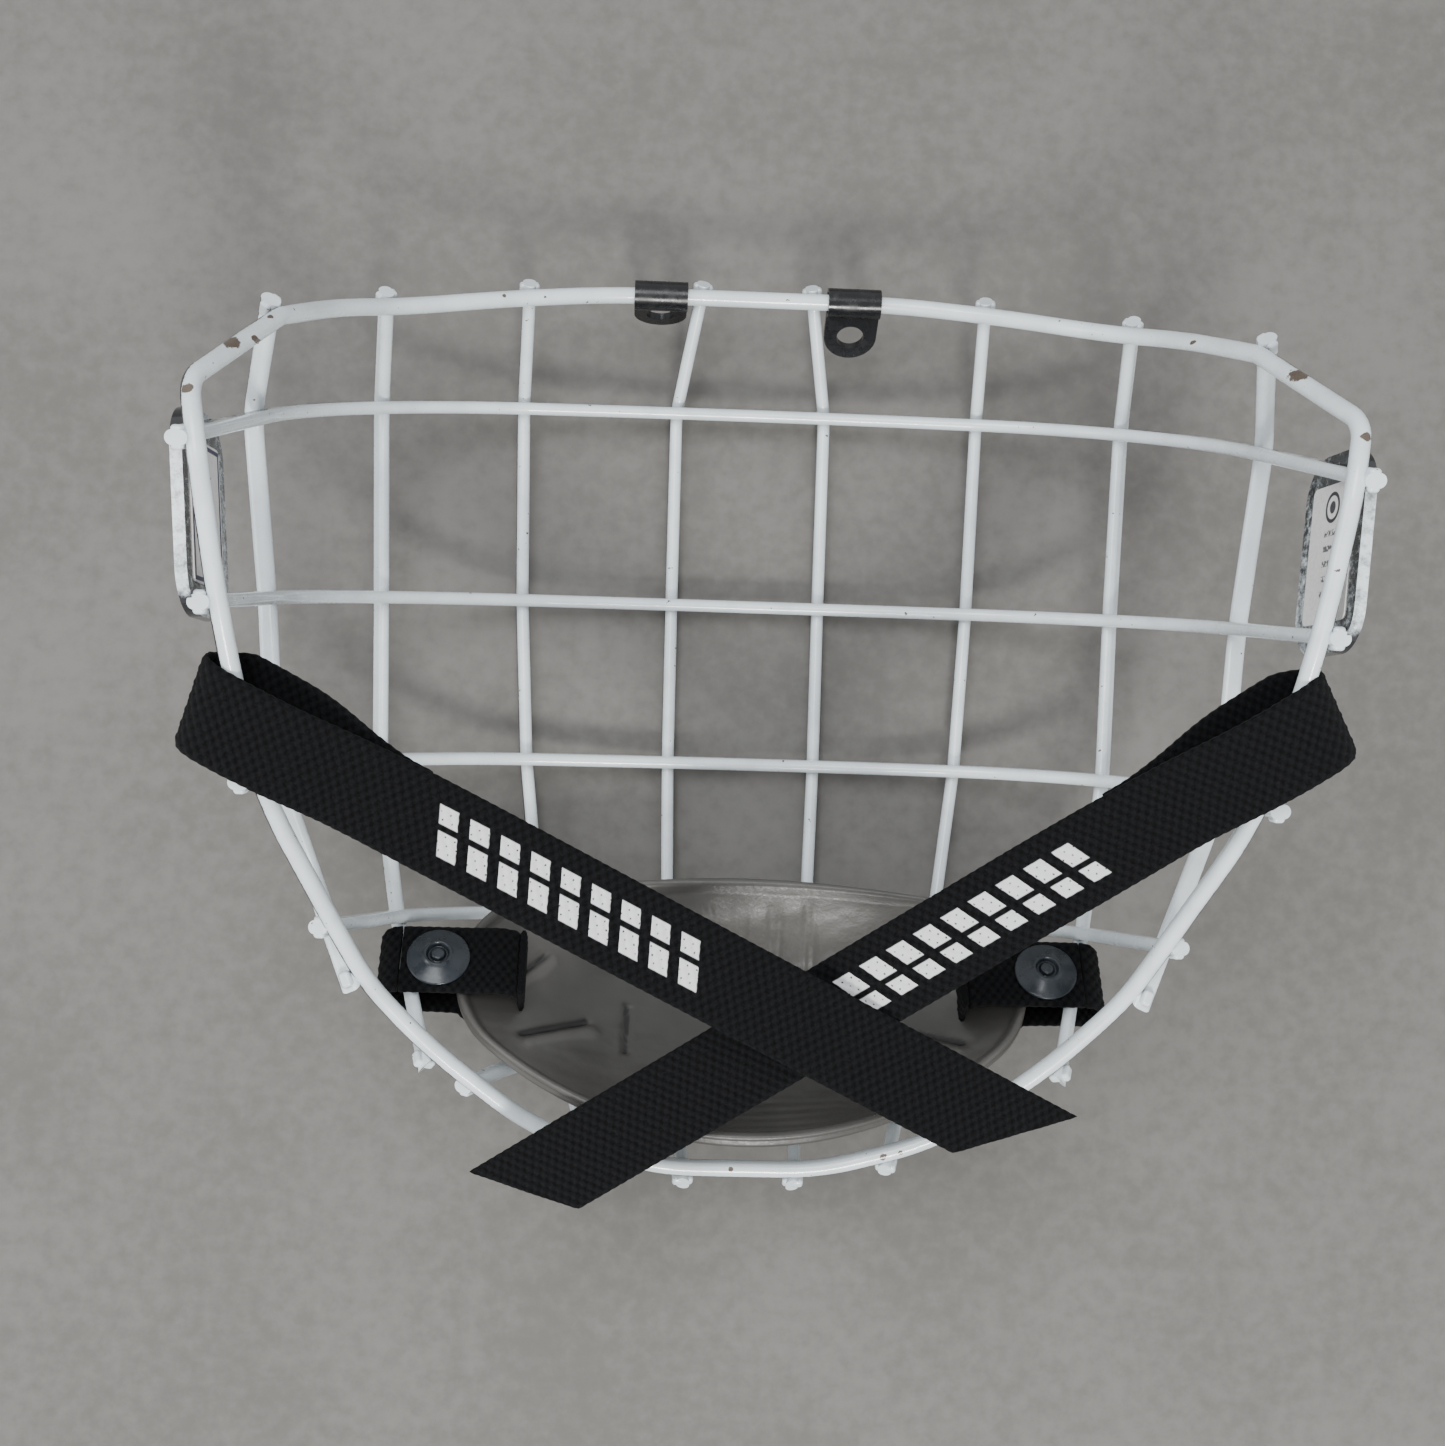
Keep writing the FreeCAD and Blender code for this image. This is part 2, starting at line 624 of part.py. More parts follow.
# ---------------------------------------------------------------- brow clips
def make_clip(side_name, droop):
    """Loop of coated strip round the rim with its two ends laid together and drilled."""
    eye = rim_radius + size("clip_clearance")
    outer = eye + size("clip_gauge")
    reach = size("clip_hole_reach")
    half = size("clip_width") / 2
    body = new_body("brow_clip_" + side_name)
    ring = circle_sketch(
        body, "clip_eye_" + side_name,
        ("Sizes.rim_wire / 2 + Sizes.clip_clearance + Sizes.clip_gauge",
         "Sizes.rim_wire / 2 + Sizes.clip_clearance"), (outer, eye))
    ring.AttachmentSupport = (plane_of(body, "YZ_Plane"), [""])
    pad(body, ring, "clip_barrel_" + side_name, "Sizes.clip_width", midplane=True)
    tab = new_sketch(body, "clip_tab_" + side_name)
    root = eye + size("clip_gauge") * 0.4
    corners = [Vector(-half, -root, 0), Vector(-half, -reach, 0),
               Vector(half, -reach, 0), Vector(half, -root, 0)]
    tab.addGeometry(Part.LineSegment(corners[0], corners[1]))
    tab.addGeometry(Part.LineSegment(corners[2], corners[3]))
    tab.addGeometry(Part.LineSegment(corners[3], corners[0]))
    end = Part.Circle(Vector(0, -reach, 0), Vector(0, 0, 1), half)
    tab.addGeometry(Part.ArcOfCircle(end, math.pi, 2 * math.pi))
    tab.addGeometry(Part.Circle(Vector(0, -reach, 0), Vector(0, 0, 1), size("clip_hole") / 2))
    tab.addConstraint(Sketcher.Constraint("Coincident", 1, 2, 2, 1))
    tab.addConstraint(Sketcher.Constraint("Coincident", 2, 2, 0, 1))
    tab.addConstraint(Sketcher.Constraint("Tangent", 0, 2, 3, 1))
    tab.addConstraint(Sketcher.Constraint("Tangent", 3, 2, 1, 1))
    tab.addConstraint(Sketcher.Constraint("Vertical", 0))
    tab.addConstraint(Sketcher.Constraint("Horizontal", 2))
    tab.addConstraint(Sketcher.Constraint("PointOnObject", 3, 3, -2))
    tab.addConstraint(Sketcher.Constraint("Coincident", 4, 3, 3, 3))
    constrain(tab, "Radius", (3,), "Sizes.clip_width / 2", half)
    constrain(tab, "Radius", (4,), "Sizes.clip_hole / 2", size("clip_hole") / 2)
    constrain(tab, "DistanceY", (3, 3, -1, 1), "Sizes.clip_hole_reach", reach)
    constrain(tab, "DistanceY", (0, 1, -1, 1),
              "Sizes.rim_wire / 2 + Sizes.clip_clearance + 0.4 * Sizes.clip_gauge", root)
    pad(body, tab, "clip_ends_" + side_name, "2 * Sizes.clip_gauge", midplane=True)
    spread = size("clip_spread") / 2
    first = RIM[0]
    body.Placement = Placement(
        Vector(SIDES[side_name] * spread, first.y, first.z), Rotation(Vector(1, 0, 0), droop))
    return body


# ---------------------------------------------------------------- straps
def prism(outline, sweep):
    """Prism of an outline of (x, z) pairs, swept equally to both sides of the XZ plane."""
    points = [Vector(x, 0, z) - sweep * 0.5 for x, z in outline]
    return Part.Face(Part.makePolygon(points + points[:1])).extrude(sweep)


def strap_frame(side_name):
    """The rim at the strap: X along the strap, Z off its upper face, and the rim's direction."""
    side = SIDES[side_name]
    lean = STRAP_DIRECTIONS[side_name]
    upper, lower = RIM[TEMPLE + 2], RIM[TEMPLE + 3]
    share = size("strap_place_" + side_name)
    origin = mirrored(upper + (lower - upper) * share, side)
    rim_direction = mirrored(unit(lower - upper), side)
    along = unit(lean)
    normal = unit(rim_direction.cross(along))
    if normal.z < 0:
        normal = normal * -1
    return frame_placement(origin, along, normal.cross(along)), rim_direction


def make_strap(side_name):
    """Webbing folded round the rim and sewn to itself, with a free tail cut on the bias."""
    gauge = size("webbing_gauge")
    width = size("webbing_width")
    inside = rim_radius + size("loop_clearance")
    fold = -size("loop_back")
    flat = size("loop_flat")
    seam = size("stitch_reach")
    mouth = seam - size("stitch_length")
    tail = size("strap_length_" + side_name)
    place, rim_direction = strap_frame(side_name)

    def loop_section(half_height, fold_x, apex_x):
        """Half round at the fold, flat over the rim, then tapering to the seam."""
        outline = [(fold_x + half_height, half_height), (flat, half_height), (apex_x, 0),
                   (flat, -half_height), (fold_x + half_height, -half_height)]
        points = [Vector(x, 0, z) - sweep * 0.5 for x, z in outline]
        fold_point = Vector(fold_x, 0, 0) - sweep * 0.5
        edges = [Part.LineSegment(a, b).toShape() for a, b in zip(points, points[1:])]
        edges.append(Part.Arc(points[-1], fold_point, points[0]).toShape())
        return Part.Face(Part.Wire(edges)).extrude(sweep)

    wire_way = place.Rotation.inverted().multVec(rim_direction)
    lean = math.copysign(math.tan(math.radians(size("strap_skew"))), wire_way.x * wire_way.y)
    sweep = Vector(lean * width, width, 0)
    apex_growth = gauge / math.sin(math.atan2(inside, mouth - flat))
    loop = loop_section(inside + gauge, fold - gauge, mouth + apex_growth)
    loop = loop.cut(loop_section(inside, fold, mouth))
    seam_layers = prism([(mouth, -gauge), (seam, -gauge), (seam, gauge), (mouth, gauge)], sweep)
    free_tail = prism([(mouth, 0), (1.5 * tail, 0), (1.5 * tail, gauge), (mouth, gauge)], sweep)
    strap = loop.fuse([seam_layers, free_tail])
    upper = 1 if place.Rotation.multVec(Vector(0, 1, 0)).y > 0 else -1
    bias = size("strap_bias")
    far = 2 * tail
    cut_line = [Vector(tail + bias / 2, upper * width, -far),
                Vector(tail - 1.5 * bias, -upper * width, -far),
                Vector(far, -upper * width, -far), Vector(far, upper * width, -far)]
    cutter = Part.Face(Part.makePolygon(cut_line + cut_line[:1])).extrude(Vector(0, 0, 2 * far))
    return add_solid("strap_" + side_name, strap.cut(cutter).removeSplitter(), place)


# ---------------------------------------------------------------- chin cup and tabs
def upright_at_height(kind, height):
    points, _ = upright_points(kind)
    for start, end in zip(points[1:], points[2:]):
        if start.y >= height >= end.y:
            return start + (end - start) * ((start.y - height) / (start.y - end.y))
    raise ValueError("no upright at that height")


tilt = math.radians(size("cup_tilt"))
chin_up = Vector(0, math.cos(tilt), -math.sin(tilt))
tab_wire = upright_at_height("outer", size("tab_place"))


def cup_outline(shares, grow, level):
    """Oval of four tangent arcs, parallel to the cup's section and set out by grow."""
    wide, high, low, side, _ = shares
    half = size("cup_width") / 2 * wide + grow
    above = size("cup_top") * high + grow
    below = size("cup_bottom") * low + grow
    corner = size("cup_side_radius") * side + grow
    centre_x = half - corner

    def end_arc(reach):
        """Radius and half angle of the arc that closes the oval at one end."""
        radius = (centre_x ** 2 + reach ** 2 - corner ** 2) / (2 * (reach - corner))
        return radius, math.asin(centre_x / (radius - corner))

    edges = []
    top_radius, top_angle = end_arc(above)
    low_radius, low_angle = end_arc(below)
    top_join = Vector(top_radius * math.sin(top_angle),
                      above - top_radius * (1 - math.cos(top_angle)), level)
    low_join = Vector(low_radius * math.sin(low_angle),
                      low_radius * (1 - math.cos(low_angle)) - below, level)
    for join, middle_y in ((top_join, above), (low_join, -below)):
        other = Vector(-join.x, join.y, level)
        edges.append(Part.Arc(other, Vector(0, middle_y, level), join).toShape())
    for way in (1, -1):
        start = Vector(way * top_join.x, top_join.y, level)
        end = Vector(way * low_join.x, low_join.y, level)
        edges.append(Part.Arc(start, Vector(way * half, 0, level), end).toShape())
    return Part.Wire(Part.__sortEdges__(edges))


def make_cup():
    """Soft moulded bowl, open to the wearer, with a slot for each tab."""
    wall = size("cup_wall")
    deep = size("cup_depth")
    outer = Part.makeLoft([cup_outline(s, 0, -s[4] * deep) for s in CUP_SECTIONS], True)
    bowl = [cup_outline(s, -wall * 0.8, wall * 0.9 - s[4] * deep) for s in CUP_SECTIONS]
    hollow = Part.makeLoft(bowl, True)
    cup = outer.cut(hollow)
    slot_long = size("tab_width") + 1.2
    slot_wide = size("tab_gauge") + 2 * size("tab_gap")
    riser = tab_wire.x - size("tab_length") - size("tab_gap")
    for side in SIDES.values():
        middle_x = side * (riser - size("tab_gauge") / 2)
        cup = cup.cut(Part.makeBox(slot_wide, slot_long, 3 * deep, Vector(
            middle_x - slot_wide / 2, size("cup_drop") - slot_long / 2, -2 * deep)))
    edge_middle = wall * 0.42
    origin = Vector(0, tab_wire.y, tab_wire.z) - chin_up * size("cup_drop")
    origin = origin + Vector(1, 0, 0).cross(chin_up) * edge_middle
    place = frame_placement(origin, Vector(1, 0, 0), chin_up)
    return add_solid("chin_cup", cup, place)


def tab_frame(side_name):
    """The wire at the tab: X to the cup, Y across the tab, Z off the wearer's side."""
    side = SIDES[side_name]
    across = chin_up * -side
    return frame_placement(mirrored(tab_wire, side), Vector(-side, 0, 0), across)


def make_tab(side_name):
    """Layer behind the wire and the cup: fold, back layer and the turn up into the slot."""
    gauge = size("tab_gauge")
    width = size("tab_width")
    inside = grid_depth / 2 + size("tab_clearance")
    outside = inside + gauge
    fold = -size("tab_slack")
    level_end = size("snap_reach") + size("snap_body") / 2
    riser = size("tab_length") + size("tab_gap")
    deep = size("cup_depth") * 0.55 + outside
    ring = Part.makeCylinder(outside, width, Vector(fold, -width / 2, 0), Vector(0, 1, 0))
    ring = ring.cut(Part.makeCylinder(inside, width, Vector(fold, -width / 2, 0), Vector(0, 1, 0)))
    ring = ring.cut(Part.makeBox(2 * outside, 2 * width, 3 * outside,
                                 Vector(fold, -width, -1.5 * outside)))
    back = prism([(fold, -inside), (level_end, -inside), (riser, gauge - deep),
                  (riser, inside), (riser + gauge, inside), (riser + gauge, -deep),
                  (level_end, -outside), (fold, -outside)], Vector(0, width, 0))
    return add_solid("tab_back_" + side_name, ring.fuse(back).removeSplitter(),
                     tab_frame(side_name))


def make_flap(side_name):
    """Front layer of the tab, from the fold to its free end over the cup."""
    gauge = size("tab_gauge")
    width = size("tab_width")
    inside = grid_depth / 2 + size("tab_clearance")
    start = size("tab_gap") - size("tab_slack")
    flap = Part.makeBox(size("tab_length") - start, width, gauge,
                        Vector(start, -width / 2, inside))
    return add_solid("tab_flap_" + side_name, flap, tab_frame(side_name))


def make_snap(side_name):
    """Cap and socket on the flap, stud and rivet head on the back layer."""
    gauge = size("tab_gauge")
    inside = grid_depth / 2 + size("tab_clearance")
    cap_radius = size("snap_cap") / 2
    body_radius = size("snap_body") / 2
    ball = size("snap_ball") / 2
    fit = size("snap_fit")
    high = size("snap_height")

    def turned(name, outline):
        """Revolved piece whose outline is (radius, height) pairs, on the snap's axis."""
        reach = size("snap_reach")
        points = [Vector(reach + radius, 0, level) for radius, level in outline]
        face = Part.Face(Part.makePolygon(points + points[:1]))
        solid = face.revolve(Vector(reach, 0, 0), Vector(0, 0, 1), 360)
        add_solid("%s_%s" % (name, side_name), solid, tab_frame(side_name))

    top = inside + gauge
    turned("snap_cap", [(0, top), (cap_radius, top), (cap_radius, top + 0.7),
                        (cap_radius * 0.45, top + high), (cap_radius * 0.36, top + high),
                        (cap_radius * 0.30, top + high * 0.5), (0, top + high * 0.5)])
    shelf = inside - size("snap_lip")
    ceiling = inside - size("snap_lip") / 2
    turned("snap_socket", [(0, inside), (body_radius, inside), (body_radius, shelf),
                           (ball + fit, shelf), (ball + fit, ceiling), (0, ceiling)])
    turned("snap_stud", [(0, -inside), (body_radius, -inside), (body_radius, shelf - fit * 1.5),
                         (ball, shelf - fit * 1.5), (ball - fit, ceiling - fit), (0, ceiling - fit)])
    bottom = -inside - gauge
    turned("snap_rivet", [(0, bottom), (body_radius, bottom), (body_radius * 0.8,
                          bottom - size("snap_post")), (0, bottom - size("snap_post"))])


for side_name in SIDES:
    make_side_plate(side_name)
    make_label(side_name)
    make_clip(side_name, size("clip_droop_" + side_name))
    make_strap(side_name)
make_cup()
for side_name in SIDES:
    make_tab(side_name)
    make_flap(side_name)
    make_snap(side_name)

# ---------------------------------------------------------------- finish
doc.recompute()
SUBPARTS = [thing for thing in doc.Objects
            if thing.TypeId == "PartDesign::Body" or thing.TypeId == "Part::Feature"]
for thing in doc.Objects:
    if "Invalid" in thing.State or "Error" in thing.State:
        raise RuntimeError("%s did not recompute" % thing.Name)

box = FreeCAD.BoundBox()
for thing in SUBPARTS:
    if thing.Shape.isNull() or not thing.Shape.isValid():
        raise RuntimeError("%s has no valid shape" % thing.Label)
    box.add(thing.Shape.optimalBoundingBox(False))

# The origin is the middle of the footprint, at the level the cage rests on.
shift = Vector(-box.Center.x, -box.Center.y, -box.ZMin)
for thing in SUBPARTS:
    thing.Placement.Base = thing.Placement.Base + shift
doc.recompute()

os.makedirs("parts", exist_ok=True)
for thing in SUBPARTS:
    thing.Shape.exportStep("parts/%s.step" % thing.Label)
print(len(SUBPARTS), "sub-parts,", "%.1f x %.1f x %.1f mm" % (box.XLength, box.YLength, box.ZLength))
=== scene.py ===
import json
import math
import random

import bmesh
import bpy
from mathutils import Matrix, Vector, noise


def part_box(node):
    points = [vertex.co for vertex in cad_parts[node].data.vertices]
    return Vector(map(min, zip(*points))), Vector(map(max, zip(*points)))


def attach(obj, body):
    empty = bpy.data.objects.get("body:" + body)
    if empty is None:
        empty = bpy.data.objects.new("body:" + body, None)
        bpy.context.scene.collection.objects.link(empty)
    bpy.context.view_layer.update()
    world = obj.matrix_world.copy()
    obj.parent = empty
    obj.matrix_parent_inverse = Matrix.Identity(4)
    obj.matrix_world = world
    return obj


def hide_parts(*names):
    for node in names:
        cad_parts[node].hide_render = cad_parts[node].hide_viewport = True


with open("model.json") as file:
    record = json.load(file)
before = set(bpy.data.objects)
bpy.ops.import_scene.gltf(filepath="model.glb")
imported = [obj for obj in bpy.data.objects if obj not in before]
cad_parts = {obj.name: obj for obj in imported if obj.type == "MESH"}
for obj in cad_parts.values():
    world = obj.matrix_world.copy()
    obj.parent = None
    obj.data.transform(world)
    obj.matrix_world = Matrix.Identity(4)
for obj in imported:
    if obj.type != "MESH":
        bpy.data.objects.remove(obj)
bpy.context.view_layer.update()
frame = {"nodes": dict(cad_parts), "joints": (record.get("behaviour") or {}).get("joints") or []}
NODES = frame["nodes"]
SIDES = {"left": -1, "right": 1}
MM = 0.001

# Sizes of the CAD part that the looks are built from, in metres.
RIM_WIRE = 3.9 * MM
BROW_HEIGHT = 101.2 * MM
GRID_DEPTH = 4.4 * MM
CUP_TILT = math.radians(35)
CUP_DROP = 1.9 * MM
CUP_WALL = 3.8 * MM
CUP_HALF_WIDTH = 65.5 * MM
CUP_TOP = 26 * MM
CUP_BOTTOM = 39 * MM
CUP_SIDE_RADIUS = 23 * MM
CUP_DEPTH = 22 * MM
WEBBING_WIDTH = 19 * MM
WEBBING_GAUGE = 1.5 * MM
TAB_WIDTH = 16.8 * MM
TAB_GAUGE = 1.4 * MM
TAB_LENGTH = 25.5 * MM
TAB_CLEARANCE = 1.4 * MM
TAB_SLACK = 1.2 * MM
SNAP_REACH = 7.6 * MM
SNAP_CAP = 14.4 * MM
SNAP_HEIGHT = 2.6 * MM

random.seed(7)

# The middle of the cage: halfway across, level with the middle of the side, on the
# centreline of the front bars.
rim_low, rim_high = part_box("rim")
MIDDLE = Vector((
    (rim_low.x + rim_high.x) / 2,
    rim_high.y - RIM_WIRE / 2 - BROW_HEIGHT,
    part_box("bar_2")[0].z + GRID_DEPTH / 2,
))
JOINTS = {joint["name"]: joint for joint in frame["joints"]}


def smooth_step(low, high, value):
    share = min(1.0, max(0.0, (value - low) / (high - low)))
    return share * share * (3 - 2 * share)


def mix(a, b, share):
    return a + (b - a) * share


# ---------------------------------------------------------------- node helpers
def new_material(name, roughness=0.5, metallic=0.0, color=(0.5, 0.5, 0.5)):
    material = bpy.data.materials.new(name)
    material.use_nodes = True
    shader = material.node_tree.nodes["Principled BSDF"]
    shader.inputs["Base Color"].default_value = (*color, 1)
    shader.inputs["Roughness"].default_value = roughness
    shader.inputs["Metallic"].default_value = metallic
    return material, material.node_tree, shader


def node(tree, kind, inputs=(), **settings):
    made = tree.nodes.new(kind)
    for key, value in settings.items():
        setattr(made, key, value)
    for key, value in dict(inputs).items():
        if isinstance(value, bpy.types.NodeSocket):
            tree.links.new(value, made.inputs[key])
        else:
            made.inputs[key].default_value = value
    return made


def math_node(tree, operation, first, second=0.0, third=0.0, clamp=False):
    made = node(tree, "ShaderNodeMath", {0: first, 1: second, 2: third}, operation=operation)
    made.use_clamp = clamp
    return made.outputs[0]


def ramp(tree, factor, low, high, to_low=0.0, to_high=1.0):
    made = node(tree, "ShaderNodeMapRange", {
        "Value": factor, "From Min": low, "From Max": high,
        "To Min": to_low, "To Max": to_high}, interpolation_type="SMOOTHSTEP")
    return made.outputs["Result"]


def noise_value(tree, vector, scale, detail=3.0, roughness=0.55):
    made = node(tree, "ShaderNodeTexNoise", {
        "Vector": vector, "Scale": scale, "Detail": detail, "Roughness": roughness})
    return made.outputs["Fac"]


def mix_color(tree, factor, first, second):
    made = tree.nodes.new("ShaderNodeMix")
    made.data_type = "RGBA"
    for index, value in ((0, factor), (6, first), (7, second)):
        if isinstance(value, bpy.types.NodeSocket):
            tree.links.new(value, made.inputs[index])
        else:
            made.inputs[index].default_value = value if index == 0 else (*value, 1)
    return made.outputs[2]


def object_position(tree):
    return node(tree, "ShaderNodeTexCoord").outputs["Object"]


def attribute_parts(tree, name):
    """The three numbers that a point attribute holds."""
    vector = node(tree, "ShaderNodeAttribute", attribute_name=name).outputs["Vector"]
    split = node(tree, "ShaderNodeSeparateXYZ", {0: vector})
    return vector, split.outputs[0], split.outputs[1], split.outputs[2]


def bump(tree, shader, height, distance, strength=1.0):
    made = node(tree, "ShaderNodeBump", {
        "Height": height, "Distance": distance, "Strength": strength})
    tree.links.new(made.outputs["Normal"], shader.inputs["Normal"])


def link(tree, value, shader, name):
    tree.links.new(value, shader.inputs[name])


# ---------------------------------------------------------------- mesh helpers
def mesh_object(name, points, faces, material, smooth=True):
    mesh = bpy.data.meshes.new(name)
    mesh.from_pydata([tuple(point) for point in points], [], faces)
    mesh.validate()
    mesh.update()
    if smooth:
        mesh.shade_smooth()
    made = bpy.data.objects.new(name, mesh)
    bpy.context.scene.collection.objects.link(made)
    if material is not None:
        mesh.materials.append(material)
    return made


def point_attribute(made, name, values):
    layer = made.data.attributes.new(name, "FLOAT_VECTOR", "POINT")
    layer.data.foreach_set("vector", [number for value in values for number in value])


def lathe(name, outline, material, place, turns=72):
    """Solid turned from (radius, height) pairs that start and end on the axis."""
    points = []
    faces = []
    inner = outline[1:-1]
    for step in range(turns):
        angle = 2 * math.pi * step / turns
        for radius, height in inner:
            points.append(place @ Vector((radius * math.cos(angle), radius * math.sin(angle), height)))
    count = len(inner)
    start = len(points)
    points.append(place @ Vector((0, 0, outline[0][1])))
    points.append(place @ Vector((0, 0, outline[-1][1])))
    for step in range(turns):
        here = step * count
        there = ((step + 1) % turns) * count
        for row in range(count - 1):
            faces.append((here + row, there + row, there + row + 1, here + row + 1))
        faces.append((start, there, here))
        faces.append((start + 1, here + count - 1, there + count - 1))
    return mesh_object(name, points, faces, material)


# ---------------------------------------------------------------- paint
PAINT_LIGHT = (0.80, 0.87, 0.90)
PAINT_DARK = (0.012, 0.013, 0.016)
BARE_STEEL = (0.16, 0.12, 0.09)

# Chipped spots of the rim, from the middle of the cage: across, up and size in mm.
CHIPS = [
    (-107.9, 67.6, 1.7), (-104.8, 69.9, 0.7), (-103.3, 76.2, 0.7), (-113.0, 55.0, 1.2),
    (106.4, 70.3, 1.9), (94.0, 84.5, 0.5), (113.0, 54.0, 1.1),
    (-60.0, 97.5, 0.6), (32.7, -99.1, 1.0), (36.5, -98.0, 0.6), (-1.7, -103.0, 0.7),
]


def facing_wearer(tree, place):
    """How far a surface is turned to the wearer: up the axis, and in to the middle."""
    normal = node(tree, "ShaderNodeTexCoord").outputs["Normal"]
    inside = MIDDLE + Vector((0, 0, 62 * MM))
    way = node(tree, "ShaderNodeVectorMath", {0: tuple(inside), 1: place}, operation="SUBTRACT")
    way = node(tree, "ShaderNodeVectorMath", {0: way.outputs[0]}, operation="NORMALIZE")
    way = node(tree, "ShaderNodeVectorMath", {0: way.outputs[0], 3: 0.5}, operation="SCALE")
    way = node(tree, "ShaderNodeVectorMath", {0: way.outputs[0], 1: (0, 0, 0.8)}, operation="ADD")
    return node(tree, "ShaderNodeVectorMath", {0: way.outputs[0], 1: normal},
                operation="DOT_PRODUCT").outputs["Value"]


def paint_material(name, bare_spots=(), inner=PAINT_LIGHT):
    """Light enamel on the sides that face the wearer, black on the outer sides."""
    material, tree, shader = new_material(name, roughness=0.26)
    place = object_position(tree)
    facing = facing_wearer(tree, place)
    speckle = noise_value(tree, place, 900.0, 4.0, 0.7)
    patches = noise_value(tree, place, 60.0, 2.0)
    edge = math_node(tree, "MULTIPLY_ADD", speckle, 0.30, facing)
    edge = math_node(tree, "MULTIPLY_ADD", patches, 0.45, edge)
    light = ramp(tree, edge, 0.34, 0.42)
    tint = noise_value(tree, place, 140.0, 3.0)
    worn = mix_color(tree, ramp(tree, tint, 0.35, 0.75), inner, tuple(c * 0.88 for c in inner))
    color = mix_color(tree, light, PAINT_DARK, worn)
    ragged = noise_value(tree, place, 420.0, 4.0, 0.65)
    fleck = ramp(tree, noise_value(tree, place, 700.0, 2.0, 0.4), 0.745, 0.765)
    bare = fleck
    split = node(tree, "ShaderNodeSeparateXYZ", {0: place})
    flat = node(tree, "ShaderNodeCombineXYZ", {0: split.outputs[0], 1: split.outputs[1]}).outputs[0]
    for across, up, spot in bare_spots:
        centre = (MIDDLE.x + across * MM, MIDDLE.y + up * MM, 0)
        reach = node(tree, "ShaderNodeVectorMath", {0: flat, 1: centre}, operation="DISTANCE")
        reach = math_node(tree, "MULTIPLY_ADD", ragged, spot * 1.6 * MM, reach.outputs["Value"])
        inside_spot = ramp(tree, reach, spot * 1.75 * MM, spot * 1.6 * MM)
        bare = math_node(tree, "MAXIMUM", bare, inside_spot)
    steel = mix_color(tree, speckle, BARE_STEEL, tuple(c * 0.35 for c in BARE_STEEL))
    color = mix_color(tree, bare, color, steel)
    link(tree, color, shader, "Base Color")
    link(tree, ramp(tree, tint, 0.2, 0.8, 0.20, 0.36), shader, "Roughness")
    shader.inputs["Coat Weight"].default_value = 0.6
    shader.inputs["Coat Roughness"].default_value = 0.08
    orange_peel = math_node(tree, "MULTIPLY_ADD", bare, -1.5, noise_value(tree, place, 260.0, 2.0))
    bump(tree, shader, orange_peel, 0.00006, 0.5)
    return material


def dark_plate_material():
    """Gloss black sheet whose inner face carries the light enamel."""
    material, tree, shader = new_material("plate_enamel", roughness=0.2)
    place = object_position(tree)
    facing = facing_wearer(tree, place)
    grain = noise_value(tree, place, 500.0, 4.0, 0.7)
    light = ramp(tree, math_node(tree, "MULTIPLY_ADD", grain, 0.25, facing), 0.60, 0.72)
    scuffs = ramp(tree, noise_value(tree, place, 130.0, 5.0, 0.7), 0.62, 0.75)
    dark = mix_color(tree, scuffs, (0.016, 0.017, 0.02), (0.16, 0.15, 0.15))
    link(tree, mix_color(tree, light, dark, PAINT_LIGHT), shader, "Base Color")
    link(tree, ramp(tree, grain, 0.3, 0.7, 0.14, 0.3), shader, "Roughness")
    shader.inputs["Coat Weight"].default_value = 0.6
    bump(tree, shader, grain, 0.00004, 0.5)
    return material


def coated_strip_material():
    """Black vinyl dipped over steel strip."""
    material, tree, shader = new_material("vinyl_coating", roughness=0.22)
    place = object_position(tree)
    grain = noise_value(tree, place, 350.0, 4.0, 0.6)
    color = mix_color(tree, ramp(tree, grain, 0.5, 0.8), (0.006, 0.006, 0.007), (0.02, 0.02, 0.021))
    link(tree, color, shader, "Base Color")
    link(tree, ramp(tree, grain, 0.3, 0.7, 0.16, 0.34), shader, "Roughness")
    bump(tree, shader, grain, 0.0001, 0.6)
    return material


# ---------------------------------------------------------------- webbing
WEAVE_ALONG = 1.08 * MM
WEAVE_ACROSS = 1.46 * MM
WEAVE_RELIEF = 0.21 * MM


